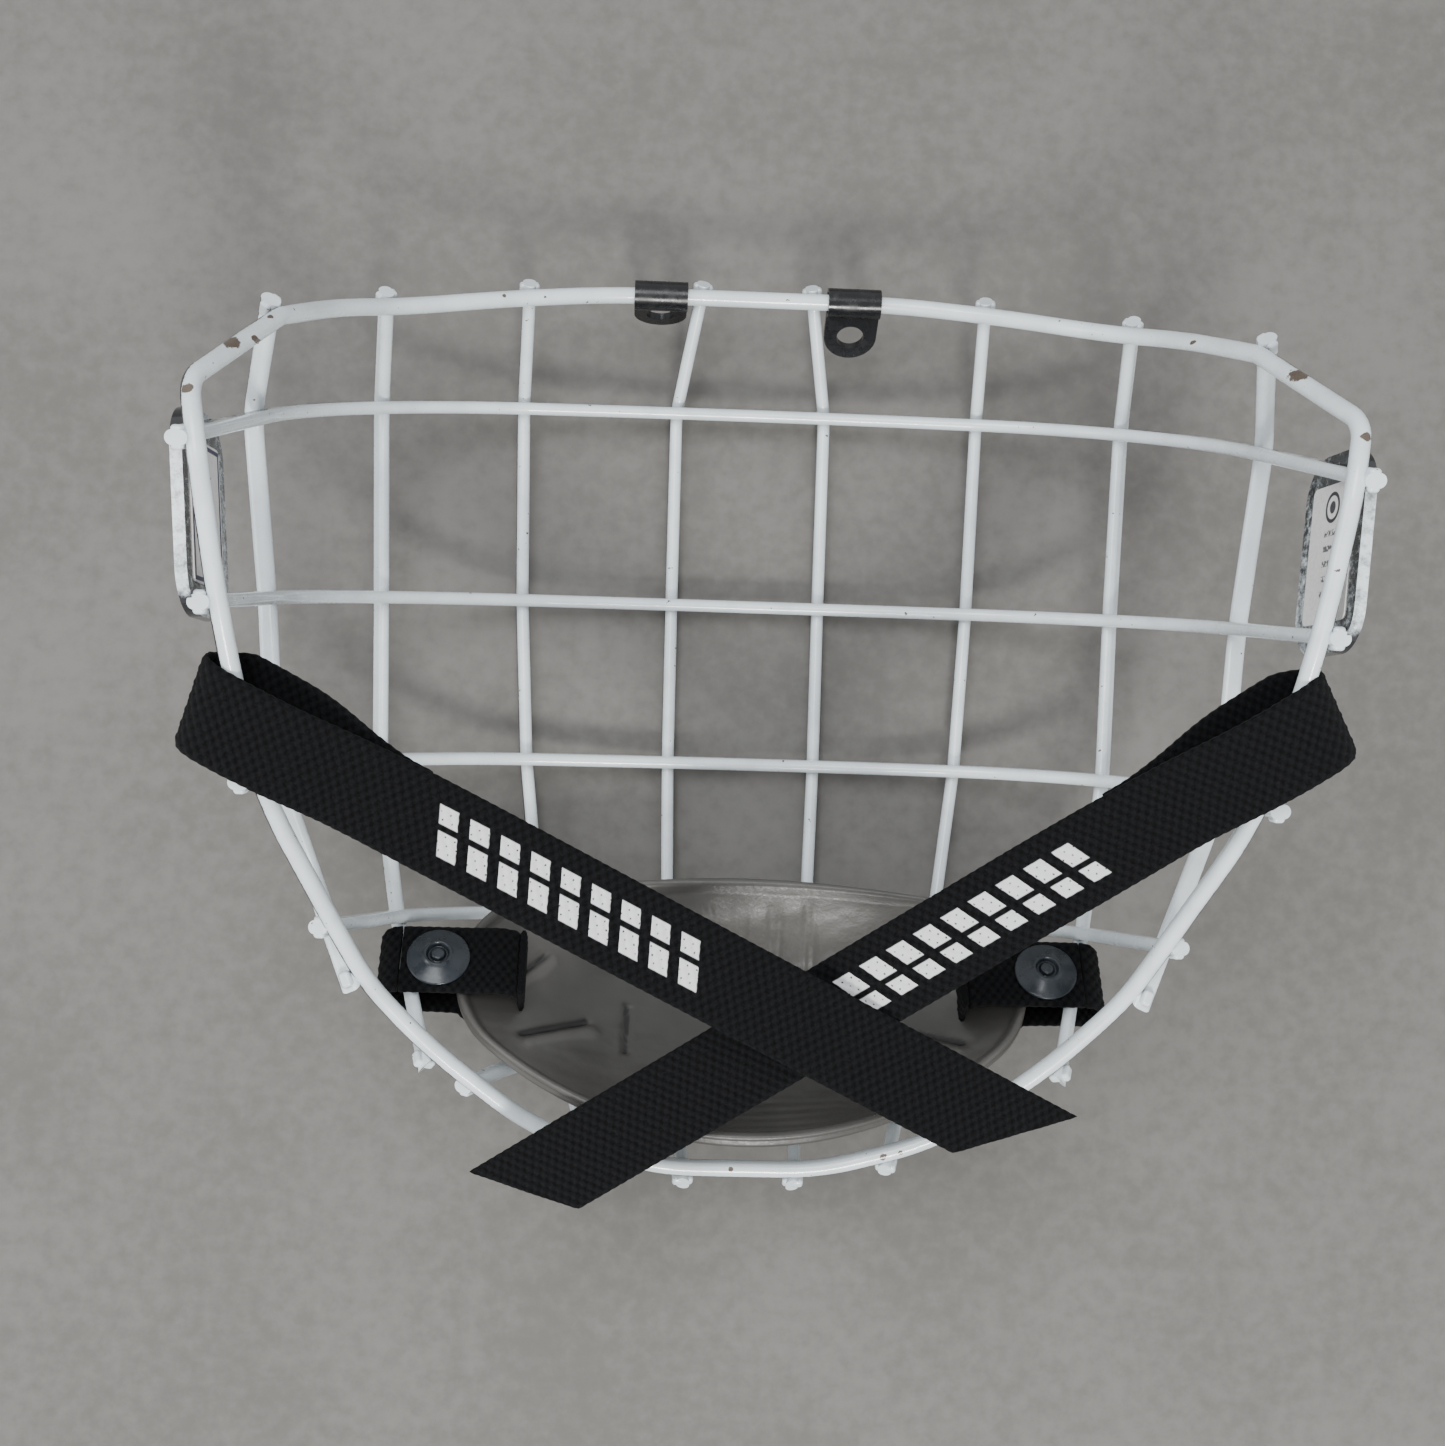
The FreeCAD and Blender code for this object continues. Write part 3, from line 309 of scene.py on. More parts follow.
def webbing_material(name, marks=None):
    """Black polyester weave with painted shade in the weave's hollows; marks gives the printed stretch as
    (start, end) in metres.
    """
    material, tree, shader = new_material(name, roughness=0.85)
    vector, along, across, relief = attribute_parts(tree, "weave")
    fuzz = noise_value(tree, object_position(tree), 2600.0, 3.0, 0.7)
    # Painted shade: the sunken points of the weave are coloured darker than the raised ones.
    weave_painted_shade = ramp(tree, relief, -0.8, 0.9)
    dark = mix_color(tree, weave_painted_shade, (0.0008, 0.0008, 0.001), (0.0055, 0.0057, 0.0068))
    dark = mix_color(tree, ramp(tree, fuzz, 0.45, 0.8), dark, (0.011, 0.0115, 0.0125))
    color = dark
    if marks is not None:
        start, end, slant_way = marks
        pitch = (end - start) / 9
        slanted = math_node(tree, "MULTIPLY_ADD", across, slant_way * 0.45, along)
        run = math_node(tree, "SUBTRACT", slanted, start)
        phase = math_node(tree, "FRACT", math_node(tree, "DIVIDE", run, pitch))
        ragged = math_node(tree, "MULTIPLY_ADD", relief, 0.02, phase)
        bar = math_node(tree, "SUBTRACT", 1.0, ramp(tree, ragged, 0.60, 0.64))
        left = ramp(tree, run, 0.0, 0.0003)
        right = ramp(tree, run, end - start, end - start - 0.0003)
        height = ramp(tree, math_node(tree, "ABSOLUTE", across), 0.0050, 0.0047)
        gap = ramp(tree, math_node(tree, "ABSOLUTE", math_node(tree, "SUBTRACT", across, 0.0006)),
                   0.0005, 0.0008)
        mask = math_node(tree, "MULTIPLY", bar, left)
        mask = math_node(tree, "MULTIPLY", mask, right)
        mask = math_node(tree, "MULTIPLY", mask, height)
        mask = math_node(tree, "MULTIPLY", mask, gap)
        wear = ramp(tree, math_node(tree, "MULTIPLY_ADD", fuzz, 0.6, relief), -0.62, -0.42)
        mask = math_node(tree, "MULTIPLY", mask, wear)
        color = mix_color(tree, mask, dark, (0.78, 0.78, 0.79))
    link(tree, color, shader, "Base Color")
    shader.inputs["Sheen Weight"].default_value = 0.03
    shader.inputs["Sheen Roughness"].default_value = 0.5
    shader.inputs["Specular IOR Level"].default_value = 0.12
    fibres = noise_value(tree, vector, 5200.0, 2.0, 0.6)
    bump(tree, shader, fibres, 0.00012, 0.7)
    return material


def weave_relief(along, across):
    """Height of a plain weave, from -1 to 1."""
    return math.sin(math.pi * along / WEAVE_ALONG) * math.sin(math.pi * across / WEAVE_ACROSS)


def woven_strip(name, stations, width, gauge, material, cut=None):
    """Solid woven strip through stations of (length, point, across, normal).

    cut is not used."""
    steps = max(8, round(width / WEAVE_ACROSS * 4))
    points = []
    marks = []
    faces = []
    rows = len(stations)
    ring = 2 * (steps + 1)
    for row, (along, point, across_way, normal) in enumerate(stations):
        upper = []
        lower = []
        for column in range(steps + 1):
            share = column / steps * 2 - 1
            across = share * width / 2
            edge = smooth_step(0.90, 1.0, abs(share))
            ripple = 0.10 * MM * math.sin(math.pi * along / WEAVE_ALONG * 0.5) * edge
            relief = weave_relief(along, across)
            thick = gauge / 2 * (1 - 0.55 * edge) + WEAVE_RELIEF * relief * (1 - 0.5 * edge)
            thin = gauge / 2 * (1 - 0.55 * edge) - WEAVE_RELIEF * relief * (1 - 0.5 * edge)
            base = point + across_way * (across + math.copysign(ripple, share))
            upper.append((base + normal * thick, (along, across, relief)))
            lower.append((base - normal * thin, (along, across, -relief)))
        for place, mark in upper + lower[::-1]:
            points.append(place)
            marks.append(mark)
        if row:
            first = (row - 1) * ring
            second = row * ring
            for index in range(ring):
                following = (index + 1) % ring
                faces.append((first + index, second + index, second + following, first + following))
    for row in (0, rows - 1):
        start = row * ring
        for column in range(steps):
            quad = (start + column, start + column + 1,
                    start + ring - 2 - column, start + ring - 1 - column)
            faces.append(quad if row == 0 else quad[::-1])
    made = mesh_object(name, points, faces, material)
    point_attribute(made, "weave", marks)
    return made


def evenly(path, spacing):
    """Points at even spacing along a polyline of (x, z) pairs."""
    lengths = [0.0]
    for first, second in zip(path, path[1:]):
        lengths.append(lengths[-1] + math.dist(first, second))
    count = max(2, round(lengths[-1] / spacing))
    result = []
    index = 0
    for step in range(count + 1):
        wanted = lengths[-1] * step / count
        while index < len(path) - 2 and lengths[index + 1] < wanted:
            index += 1
        share = (wanted - lengths[index]) / max(1e-12, lengths[index + 1] - lengths[index])
        result.append(tuple(mix(a, b, share) for a, b in zip(path[index], path[index + 1])))
    return result


def rounded(points, passes):
    """Points smoothed by their neighbours, with the two ends held."""
    for _ in range(passes):
        middle = [tuple((a + 2 * b + c) / 4 for a, b, c in zip(p, q, r))
                  for p, q, r in zip(points, points[1:], points[2:])]
        points = [points[0]] + middle + [points[-1]]
    return points


# The folded shape of a strap beside its wire: distance along the strap and height
# over the wire's centre, in mm, from the hidden end under the seam round the fold.
LOOP_PATH = [(37, -0.9), (30, -0.95), (22, -1.2), (15, -2.6), (8, -4.0), (0, -4.5), (-7, -4.3),
             (-10.2, -2.9), (-11.2, 0.2), (-10.2, 3.2), (-7, 4.6), (0, 4.9), (8, 4.4),
             (15, 3.1), (22, 1.7), (30, 1.0), (38, 0.85), (48, 0.5), (60, 0.2)]


def strap_direction(side_name, pivot):
    """Along the strap, from its CAD solid."""
    far = [v.co for v in NODES["strap_" + side_name].data.vertices if (v.co - pivot).length > 60 * MM]
    low = min((v - pivot).length for v in far)
    high = max((v - pivot).length for v in far)
    near_end = [v for v in far if (v - pivot).length < mix(low, high, 0.75)] or far
    total = Vector((0, 0, 0))
    for v in near_end:
        total += v - pivot
    return total.normalized(), high


def make_strap(side_name, material, length, sag, drift):
    """Webbing that faces the wearer, with its sewn loop round the rim wire."""
    joint = JOINTS["strap_%s_swing" % side_name]
    pivot = Vector(joint["pos_m"])
    wire = Vector(joint["axis"])
    along, _ = strap_direction(side_name, pivot)
    plane_normal = wire.cross(along).normalized()
    if plane_normal.z < 0:
        plane_normal.negate()
    level = Vector((0, 0, 1))
    level = (level - along * level.dot(along)).normalized()
    tail = [(step, 0.2 + sag * math.sin(math.pi * (step - 60) / (length - 60)))
            for step in range(70, int(length) + 1, 6)]
    path = rounded(evenly(LOOP_PATH + tail, 0.25), 40)
    flat_way = level.cross(along).normalized()
    upper_way = 1 if flat_way.y > 0 else -1
    stations = []
    travelled = 0.0
    count = len(path)
    loop_rows = [index for index, (x, _) in enumerate(path) if x < 0]
    fold_row = min(loop_rows, key=lambda index: path[index][0])
    for index, (x, z) in enumerate(path):
        if index:
            travelled += math.dist(path[index - 1], path[index]) * MM
        before = path[max(0, index - 1)]
        after = path[min(count - 1, index + 1)]
        way = Vector((after[0] - before[0], after[1] - before[1]))
        way.normalize()
        twist = smooth_step(62, 8, x) * 0.55
        normal = (level * (1 - twist) + plane_normal * twist).normalized()
        across = normal.cross(along).normalized()
        tangent = along * way.x + normal * way.y
        local_normal = tangent.cross(across).normalized() * -1
        skew = math.tan(math.radians(9 if side_name == "left" else 7)) * smooth_step(30, -4, x)
        shift = 0.0
        if index < fold_row:
            shift = drift * smooth_step(34, 10, x) * smooth_step(-11, -2, x)
        centre = pivot + along * (x * MM) + normal * (z * MM) + across * upper_way * shift * MM
        centre += along * 0.0
        slant = (across + along * skew * (-upper_way)) if x < 30 else across
        stations.append((travelled, centre, slant, local_normal))
    return stations, along, upper_way, fold_row


def cut_tip(made, tip, along, across, half, bias):
    """Trims the tail on the bias, where the plane through the tip cuts the webbing."""
    mesh = bmesh.new()
    mesh.from_mesh(made.data)
    edge = (across * 2 * half + along * bias).normalized()
    normal = edge.cross(along.cross(across)).normalized()
    if normal.dot(along) < 0:
        normal.negate()
    cut = bmesh.ops.bisect_plane(
        mesh, geom=mesh.verts[:] + mesh.edges[:] + mesh.faces[:], dist=1e-7,
        plane_co=tip, plane_no=normal, clear_outer=True)
    borders = [item for item in cut["geom_cut"] if isinstance(item, bmesh.types.BMEdge)]
    bmesh.ops.holes_fill(mesh, edges=borders, sides=0)
    mesh.to_mesh(made.data)
    mesh.free()


def stitches(name, stations, rows, spread, material, body):
    """Zigzag thread across the strap where the loop is sewn shut."""
    curve = bpy.data.curves.new(name, "CURVE")
    curve.dimensions = "3D"
    curve.bevel_depth = 0.16 * MM
    curve.bevel_resolution = 2
    curve.resolution_u = 2
    for first in rows:
        along, centre, across, normal = stations[first]
        forward = (stations[first + 6][1] - centre).normalized()
        spline = curve.splines.new("POLY")
        count = 30
        spline.points.add(count - 1)
        for index in range(count):
            share = index / (count - 1) * 2 - 1
            hop = 0.7 * MM if index % 2 else -0.7 * MM
            lift = (WEBBING_GAUGE / 2 + 0.12 * MM) * (1 - 0.5 * smooth_step(0.92, 1, abs(share)))
            point = centre + across * share * spread + forward * hop + normal * lift
            spline.points[index].co = (*point, 1)
    made = bpy.data.objects.new(name, curve)
    bpy.context.scene.collection.objects.link(made)
    curve.materials.append(material)
    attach(made, body)
    return made


# ---------------------------------------------------------------- chin cup
CUP_RINGS = 64
CUP_STEPS = 288


def cup_place():
    pivot = Vector(JOINTS["cup_rock"]["pos_m"])
    up = Vector((0, math.cos(CUP_TILT), -math.sin(CUP_TILT)))
    out = Vector((1, 0, 0)).cross(up)
    origin = Vector((MIDDLE.x, pivot.y, pivot.z)) - up * CUP_DROP + out * CUP_WALL * 0.42
    turn = Matrix((Vector((1, 0, 0)), up, out)).transposed().to_4x4()
    return Matrix.Translation(origin) @ turn


def cup_outline():
    """Oval of four tangent arcs, as (x, y) points round it."""
    corner_x = CUP_HALF_WIDTH - CUP_SIDE_RADIUS

    def end_arc(reach):
        radius = (corner_x ** 2 + reach ** 2 - CUP_SIDE_RADIUS ** 2) / (2 * (reach - CUP_SIDE_RADIUS))
        return radius, math.asin(corner_x / (radius - CUP_SIDE_RADIUS))

    top_radius, top_angle = end_arc(CUP_TOP)
    low_radius, low_angle = end_arc(CUP_BOTTOM)
    arcs = [
        (corner_x, 0, CUP_SIDE_RADIUS, low_angle - math.pi / 2, math.pi / 2 - top_angle),
        (0, CUP_TOP - top_radius, top_radius, math.pi / 2 - top_angle, math.pi / 2 + top_angle),
        (-corner_x, 0, CUP_SIDE_RADIUS, math.pi / 2 + top_angle, 3 * math.pi / 2 - low_angle),
        (0, low_radius - CUP_BOTTOM, low_radius, 3 * math.pi / 2 - low_angle,
         3 * math.pi / 2 + low_angle),
    ]
    points = []
    for x, y, radius, start, end in arcs:
        steps = max(8, round(abs(end - start) * radius / (0.25 * MM)))
        for step in range(steps):
            angle = mix(start, end, step / steps)
            points.append((x + radius * math.cos(angle), y + radius * math.sin(angle)))
    return [(x, y) for x, y in evenly(points + points[:1], 1 * MM)][:-1]


def groove(distance, width):
    """A soft channel: 1 on its line, 0 outside it."""
    return math.exp(-(distance / width) ** 2)


def segment_distance(x, y, start, end):
    ax, ay = start
    bx, by = end
    dx, dy = bx - ax, by - ay
    share = ((x - ax) * dx + (y - ay) * dy) / (dx * dx + dy * dy)
    share = min(1.0, max(0.0, share))
    return math.hypot(x - ax - share * dx, y - ay - share * dy)


def cup_features(x, y, share):
    """Raised and sunken detail of the cup's inner skin, in mm; x and y in mm."""
    side = abs(x)
    high = 0.0
    for place in (0, 8.2, 16.4):
        for offset in (-0.9, 0.9):
            line = segment_distance(side, y, (place + offset, 23.5), (place + offset, 9.0))
            high += 0.42 * groove(line, 0.55) * smooth_step(25, 21, y)
    high -= 1.3 * groove(segment_distance(side, y, (26.5, 1.0), (26.5, -11.0)), 0.7)
    high -= 1.1 * groove(segment_distance(side, y, (46.0, 9.0), (54.0, 0.5)), 0.9)
    high += 0.8 * groove(segment_distance(side, y, (44.0, 8.0), (52.0, -0.5)), 1.6)
    high -= 1.2 * groove(segment_distance(side, y, (36.0, -5.0), (50.0, -12.5)), 1.1)
    high += 0.9 * groove(segment_distance(side, y, (35.0, -7.5), (48.0, -15.0)), 1.8)
    high -= 1.5 * groove(segment_distance(side, y, (0.0, -17.5), (0.0, -25.0)), 0.8)
    spot = Vector((x * 0.09, y * 0.16, 1.7))
    high += 0.35 * noise.noise(spot) + 0.16 * noise.noise(spot * 3.1)
    low_middle = smooth_step(-20, -27, y) * smooth_step(30, 8, side)
    high += 0.16 * low_middle * math.sin(y * 2.1 + 3.5 * noise.noise(Vector((x * 0.05, y * 0.08, 4))))
    return high * smooth_step(1.0, 0.93, share)


def cup_level(share, x, y):
    """Depth of the inner skin below the edge, as a share of the cup's depth."""
    bowl = (1 - share ** 2.3)
    shelf = 1 - 0.30 * smooth_step(26 * MM, 52 * MM, abs(x)) * smooth_step(0.2, 0.7, share)
    return bowl * shelf


def cup_skin_material():
    material, tree, shader = new_material("cup_skin", roughness=0.38)
    place = object_position(tree)
    _, along, up, relief = attribute_parts(tree, "cup")
    grain = noise_value(tree, place, 1300.0, 5.0, 0.65)
    cloud = noise_value(tree, place, 42.0, 3.0)
    color = mix_color(tree, ramp(tree, cloud, 0.3, 0.7), (0.066, 0.063, 0.058), (0.090, 0.086, 0.079))
    # Painted shade: the sunken grooves of the skin are coloured darker.
    groove_painted_shade = ramp(tree, relief, -0.35, -0.95)
    color = mix_color(tree, groove_painted_shade, color, (0.016, 0.015, 0.014))
    # Painted highlight: the raised ridges of the skin are coloured lighter.
    ridge_painted_highlight = ramp(tree, relief, 0.25, 0.6)
    color = mix_color(tree, math_node(tree, "MULTIPLY", ridge_painted_highlight, 0.5), color, (0.135, 0.129, 0.12))
    link(tree, color, shader, "Base Color")
    link(tree, ramp(tree, grain, 0.3, 0.75, 0.30, 0.46), shader, "Roughness")
    creases = noise_value(tree, place, 190.0, 4.0, 0.6)
    height = math_node(tree, "MULTIPLY_ADD", grain, 0.35, creases)
    bump(tree, shader, height, 0.00022, 0.55)
    return material


def make_cup():
    """Moulded bowl: inner skin, rolled edge with a trim groove, and outer skin."""
    place = cup_place()
    outline = cup_outline()
    count = len(outline)
    centre_y = -6 * MM
    deepest = CUP_DEPTH - CUP_WALL
    points = []
    notes = []
    rows = []

    def add_row(scale, grow, level, relief_on):
        row = []
        for index, (ox, oy) in enumerate(outline):
            x = ox * scale
            y = centre_y + (oy - centre_y) * scale
            if grow:
                length = math.hypot(ox, oy - centre_y)
                x += ox / length * grow
                y += (oy - centre_y) / length * grow
            detail = cup_features(x / MM, y / MM, scale) if relief_on else 0.0
            z = level(x, y, scale) + detail * MM
            row.append(len(points))
            points.append(place @ Vector((x, y, z)))
            notes.append((x, y, detail))
        rows.append(row)

    def inner(x, y, scale):
        return CUP_WALL * 0.15 - deepest * cup_level(scale, x, y)

    def outer(x, y, scale):
        return -CUP_WALL * 0.9 - deepest * cup_level(scale, x, y)

    for ring in range(1, CUP_RINGS + 1):
        share = ring / CUP_RINGS
        add_row(share * 0.955, 0, inner, True)
    edge = [(-0.5, 0.35), (0.3, 1.15), (1.2, 1.35), (1.75, 0.7), (1.55, -0.1), (1.05, -0.35),
            (1.15, -0.75), (1.85, -1.15), (1.95, -2.0), (1.2, -2.7), (0.0, -3.1)]
    for out, high in edge:
        ragged = 0.0
        add_row(0.955, out * MM + 1.0 * MM + ragged,
                lambda x, y, s, high=high: high * MM, False)
    for ring in range(CUP_RINGS, 0, -4):
        share = ring / CUP_RINGS
        add_row(share * 0.955, 0, outer, False)
    faces = []
    for first, second in zip(rows, rows[1:]):
        for index in range(count):
            following = (index + 1) % count
            faces.append((first[index], first[following], second[following], second[index]))
    for row, flip in ((rows[0], False), (rows[-1], True)):
        middle = len(points)
        total = Vector((0, 0, 0))
        for index in row:
            total += points[index]
        points.append(total / count)
        notes.append((0, centre_y, 0))
        for index in range(count):
            following = (index + 1) % count
            face = (middle, row[following], row[index])
            faces.append(face if flip else face[::-1])
    made = mesh_object("chin_cup_skin", points, faces, cup_skin_material())
    point_attribute(made, "cup", notes)
    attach(made, "cup")
    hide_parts("chin_cup")
    return made


# ---------------------------------------------------------------- tabs and snaps
def tab_place(side_name):
    """Wire at the tab: X to the cup, Y across the tab, Z off the wearer's side."""
    side = SIDES[side_name]
    flap_pivot = Vector(JOINTS["flap_%s_open" % side_name]["pos_m"])
    rock = Vector(JOINTS["cup_rock"]["pos_m"])
    x_way = Vector((-side, 0, 0))
    up = Vector((0, math.cos(CUP_TILT), -math.sin(CUP_TILT)))
    y_way = up * -side
    z_way = x_way.cross(y_way)
    wire = Vector((flap_pivot.x + side * (0.3 - 1.2) * MM, rock.y, rock.z))
    turn = Matrix((x_way, y_way, z_way)).transposed().to_4x4()
    return Matrix.Translation(wire) @ turn


def strip_stations(place, path, spacing, lean=0.0):
    """Stations along an (x, z) path in the tab's own frame, in mm."""
    stations = []
    travelled = 0.0
    points = rounded(evenly(path, spacing), 6)
    turn = place.to_3x3()
    across = turn @ Vector((0, 1, 0))
    for index, (x, z) in enumerate(points):
        if index:
            travelled += math.dist(points[index - 1], points[index]) * MM
        before = points[max(0, index - 1)]
        after = points[min(len(points) - 1, index + 1)]
        way = Vector((after[0] - before[0], 0, after[1] - before[1])).normalized()
        normal = turn @ Vector((-way.z, 0, way.x))
        centre = place @ Vector((x * MM, lean * x * MM, z * MM))
        stations.append((travelled, centre, across, normal))
    return stations


def snap_cap_material():
    """Smoky, slightly see-through plastic."""
    # Smoky dark plastic.
    material, tree, shader = new_material("snap_cap_plastic", roughness=0.3)
    place = object_position(tree)
    haze = noise_value(tree, place, 300.0, 3.0)
    color = mix_color(tree, ramp(tree, haze, 0.3, 0.7), (0.014, 0.019, 0.024), (0.024, 0.030, 0.037))
    link(tree, color, shader, "Base Color")
    link(tree, ramp(tree, haze, 0.3, 0.7, 0.22, 0.36), shader, "Roughness")
    bump(tree, shader, noise_value(tree, place, 900.0, 3.0), 0.00004, 0.4)
    return material


def make_tab(side_name, material, cap_material):
    place = tab_place(side_name)
    inside = GRID_DEPTH / 2 + TAB_CLEARANCE
    gauge = TAB_GAUGE
    top = (inside + gauge / 2) / MM
    fold = TAB_SLACK / MM
    middle = inside / MM + gauge / MM / 2
    arc = [(-fold - middle * math.sin(math.radians(a)), -middle * math.cos(math.radians(a)))
           for a in range(0, 181, 12)]
    riser = (TAB_LENGTH / MM) + 0.3 + gauge / MM / 2
    deep = (CUP_DEPTH * 0.55 + inside + gauge) / MM
    back = [(riser, middle - 0.2), (riser, 0), (riser - 0.6, -deep * 0.6), (riser - 4, -deep + 1.0),
            (riser - 10, -deep + 3.5), (12, -middle - 0.4), (6, -middle)] + arc
    stations = strip_stations(place, back, 0.25)
    back_tab = woven_strip("tab_%s_back" % side_name, stations, TAB_WIDTH, gauge, material)
    body = "flap_" + side_name
    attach(back_tab, "cup")
    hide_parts("tab_back_" + side_name)
    end = TAB_LENGTH / MM
    flap = [(-fold + 0.35, top), (6, top + 0.05), (14, top), (21, top + 0.25), (end - 3, top - 0.1),
            (end - 0.6, top - 0.9), (end - 0.2, top - 2.0)]
    flap_tab = woven_strip("tab_%s_front" % side_name, strip_stations(place, flap, 0.25),
                           TAB_WIDTH, gauge, material)
    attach(flap_tab, body)
    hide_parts("tab_flap_" + side_name)
    seat = (inside + gauge) / MM
    high = SNAP_HEIGHT / MM
    radius = SNAP_CAP / 2 / MM
    outline = [(0, 0.02), (radius - 0.5, 0.02), (radius - 0.1, 0.12), (radius, 0.35), (radius - 0.12, 0.62)]
    outline += [(mix(radius - 0.35, 3.3, step / 6), 0.72 + (high - 1.0) * (step / 6) ** 1.15)
                for step in range(7)]
    outline += [(3.15, high - 0.05), (2.95, high), (2.7, high - 0.06), (2.55, high - 0.3),
                (2.35, high - 1.2), (2.1, high - 1.3), (1.75, high - 1.25), (1.6, high - 1.0),
                (1.5, high - 0.45), (1.35, high - 0.28), (1.0, high - 0.18), (0.5, high - 0.13),
                (0, high - 0.12)]
    outline = [(r * MM, h * MM) for r, h in outline]
    stand = place @ Matrix.Translation(Vector((SNAP_REACH, 0, seat * MM)))
    cap = lathe("snap_%s_cap" % side_name, outline, cap_material, stand)
    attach(cap, body)
    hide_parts("snap_cap_" + side_name)


# ---------------------------------------------------------------- labels
def label_frame(side_name):
    """Middle of a label, its long way, its short way, and half its length and width."""
    mesh = NODES["label_" + side_name].data
    flat = max(mesh.polygons, key=lambda face: face.area)
    inward = flat.normal.copy()
    if inward.dot(MIDDLE - mesh.vertices[flat.vertices[0]].co) < 0:
        inward.negate()
    points = [vertex.co for vertex in mesh.vertices]
    centre = sum(points, Vector((0, 0, 0))) / len(points)
    long_way = Vector((0, 1, 0))
    long_way = (long_way - inward * long_way.dot(inward)).normalized()
    best = None
    for step in range(180):
        angle = math.pi * step / 180
        way = Matrix.Rotation(angle, 3, inward) @ long_way
        reach = [(point - centre).dot(way) for point in points]
        extent = max(reach) - min(reach)
        if best is None or extent < best[0]:
            best = (extent, way, (max(reach) + min(reach)) / 2)
    short, short_way, short_shift = best
    long_way = inward.cross(short_way).normalized()
    if long_way.y < 0:
        long_way.negate()
    reach = [(point - centre).dot(long_way) for point in points]
    long = max(reach) - min(reach)
    centre = centre + short_way * short_shift + long_way * (max(reach) + min(reach)) / 2
    return centre, long_way, short_way, long / 2, short / 2


def band(tree, value, low, high, soft=0.00008):
    """1 between two limits."""
    rising = ramp(tree, value, low - soft, low + soft)
    falling = ramp(tree, value, high + soft, high - soft)
    return math_node(tree, "MULTIPLY", rising, falling)


def label_material(side_name):
    """White film; the left one has a dark border and red dabs, the right one a ring and dashes."""
    centre, long_way, short_way, half_long, half_short = label_frame(side_name)
    material, tree, shader = new_material("label_%s_film" % side_name, roughness=0.35)
    place = object_position(tree)
    offset = node(tree, "ShaderNodeVectorMath", {0: place, 1: tuple(centre)}, operation="SUBTRACT")
    along = node(tree, "ShaderNodeVectorMath", {0: offset.outputs[0], 1: tuple(long_way)},
                 operation="DOT_PRODUCT").outputs["Value"]
    across = node(tree, "ShaderNodeVectorMath", {0: offset.outputs[0], 1: tuple(short_way)},
                  operation="DOT_PRODUCT").outputs["Value"]
    grain = noise_value(tree, place, 1100.0, 3.0, 0.6)
    film = mix_color(tree, ramp(tree, grain, 0.35, 0.8), (0.86, 0.84, 0.82), (0.74, 0.72, 0.71))
    far_along = math_node(tree, "SUBTRACT", half_long, math_node(tree, "ABSOLUTE", along))
    far_across = math_node(tree, "SUBTRACT", half_short, math_node(tree, "ABSOLUTE", across))
    edge = math_node(tree, "MINIMUM", far_along, far_across)
    if side_name == "left":
        border = band(tree, edge, 0.0005, 0.0014)
        film = mix_color(tree, border, film, (0.02, 0.02, 0.07))
        dabs = ramp(tree, noise_value(tree, place, 650.0, 2.0, 0.6), 0.52, 0.56)
        dabs = math_node(tree, "MULTIPLY", dabs, band(tree, across, -0.0032, 0.0026))
        dabs = math_node(tree, "MULTIPLY", dabs, band(tree, along, -half_long * 0.72, -half_long * 0.1))
        film = mix_color(tree, dabs, film, (0.62, 0.10, 0.09))
    else:
        ring_x = math_node(tree, "SUBTRACT", along, half_long * 0.66)
        ring = math_node(tree, "POWER", ring_x, 2.0)
        ring = math_node(tree, "ADD", ring, math_node(tree, "POWER", across, 2.0))
        ring = math_node(tree, "SQRT", ring)
        film = mix_color(tree, band(tree, ring, 0.0024, 0.0032), film, (0.03, 0.03, 0.035))
        film = mix_color(tree, band(tree, ring, -0.001, 0.0013), film, (0.05, 0.05, 0.055))
        row = math_node(tree, "FRACT", math_node(tree, "DIVIDE", along, 0.0031))
        dashes = band(tree, row, 0.15, 0.55, 0.03)
        broken = ramp(tree, noise_value(tree, place, 1500.0, 1.0, 0.4), 0.44, 0.48)
        dashes = math_node(tree, "MULTIPLY", dashes, broken)
        dashes = math_node(tree, "MULTIPLY", dashes, band(tree, across, -0.0028, 0.0028))
        dashes = math_node(tree, "MULTIPLY", dashes,
                           band(tree, along, -half_long * 0.85, half_long * 0.36))
        film = mix_color(tree, dashes, film, (0.12, 0.12, 0.13))
    link(tree, film, shader, "Base Color")
    link(tree, ramp(tree, grain, 0.3, 0.7, 0.28, 0.42), shader, "Roughness")
    bump(tree, shader, grain, 0.00003, 0.4)
    return material


# ---------------------------------------------------------------- assembly of looks
def dress_cage():
    grid = paint_material("cage_enamel")
    rim_paint = paint_material("rim_enamel", CHIPS)
    plate = dark_plate_material()
    coating = coated_strip_material()
    steel, tree, shader = new_material("snap_metal", roughness=0.35, metallic=1.0, color=(0.42, 0.42, 0.42))
    grain = noise_value(tree, object_position(tree), 800.0, 3.0)
    link(tree, ramp(tree, grain, 0.3, 0.7, 0.28, 0.45), shader, "Roughness")
    for name, made in NODES.items():
        if name == "rim":
            chosen = rim_paint
        elif name.startswith(("bar_", "upright_")):
            chosen = grid
        elif name.startswith("side_plate"):
            chosen = plate
        elif name.startswith("brow_clip"):
            chosen = coating
        elif name.startswith("label_"):
            chosen = label_material(name.removeprefix("label_"))
        elif name.startswith("snap_"):
            chosen = steel
        else:
            continue
        made.data.materials.clear()
        made.data.materials.append(chosen)


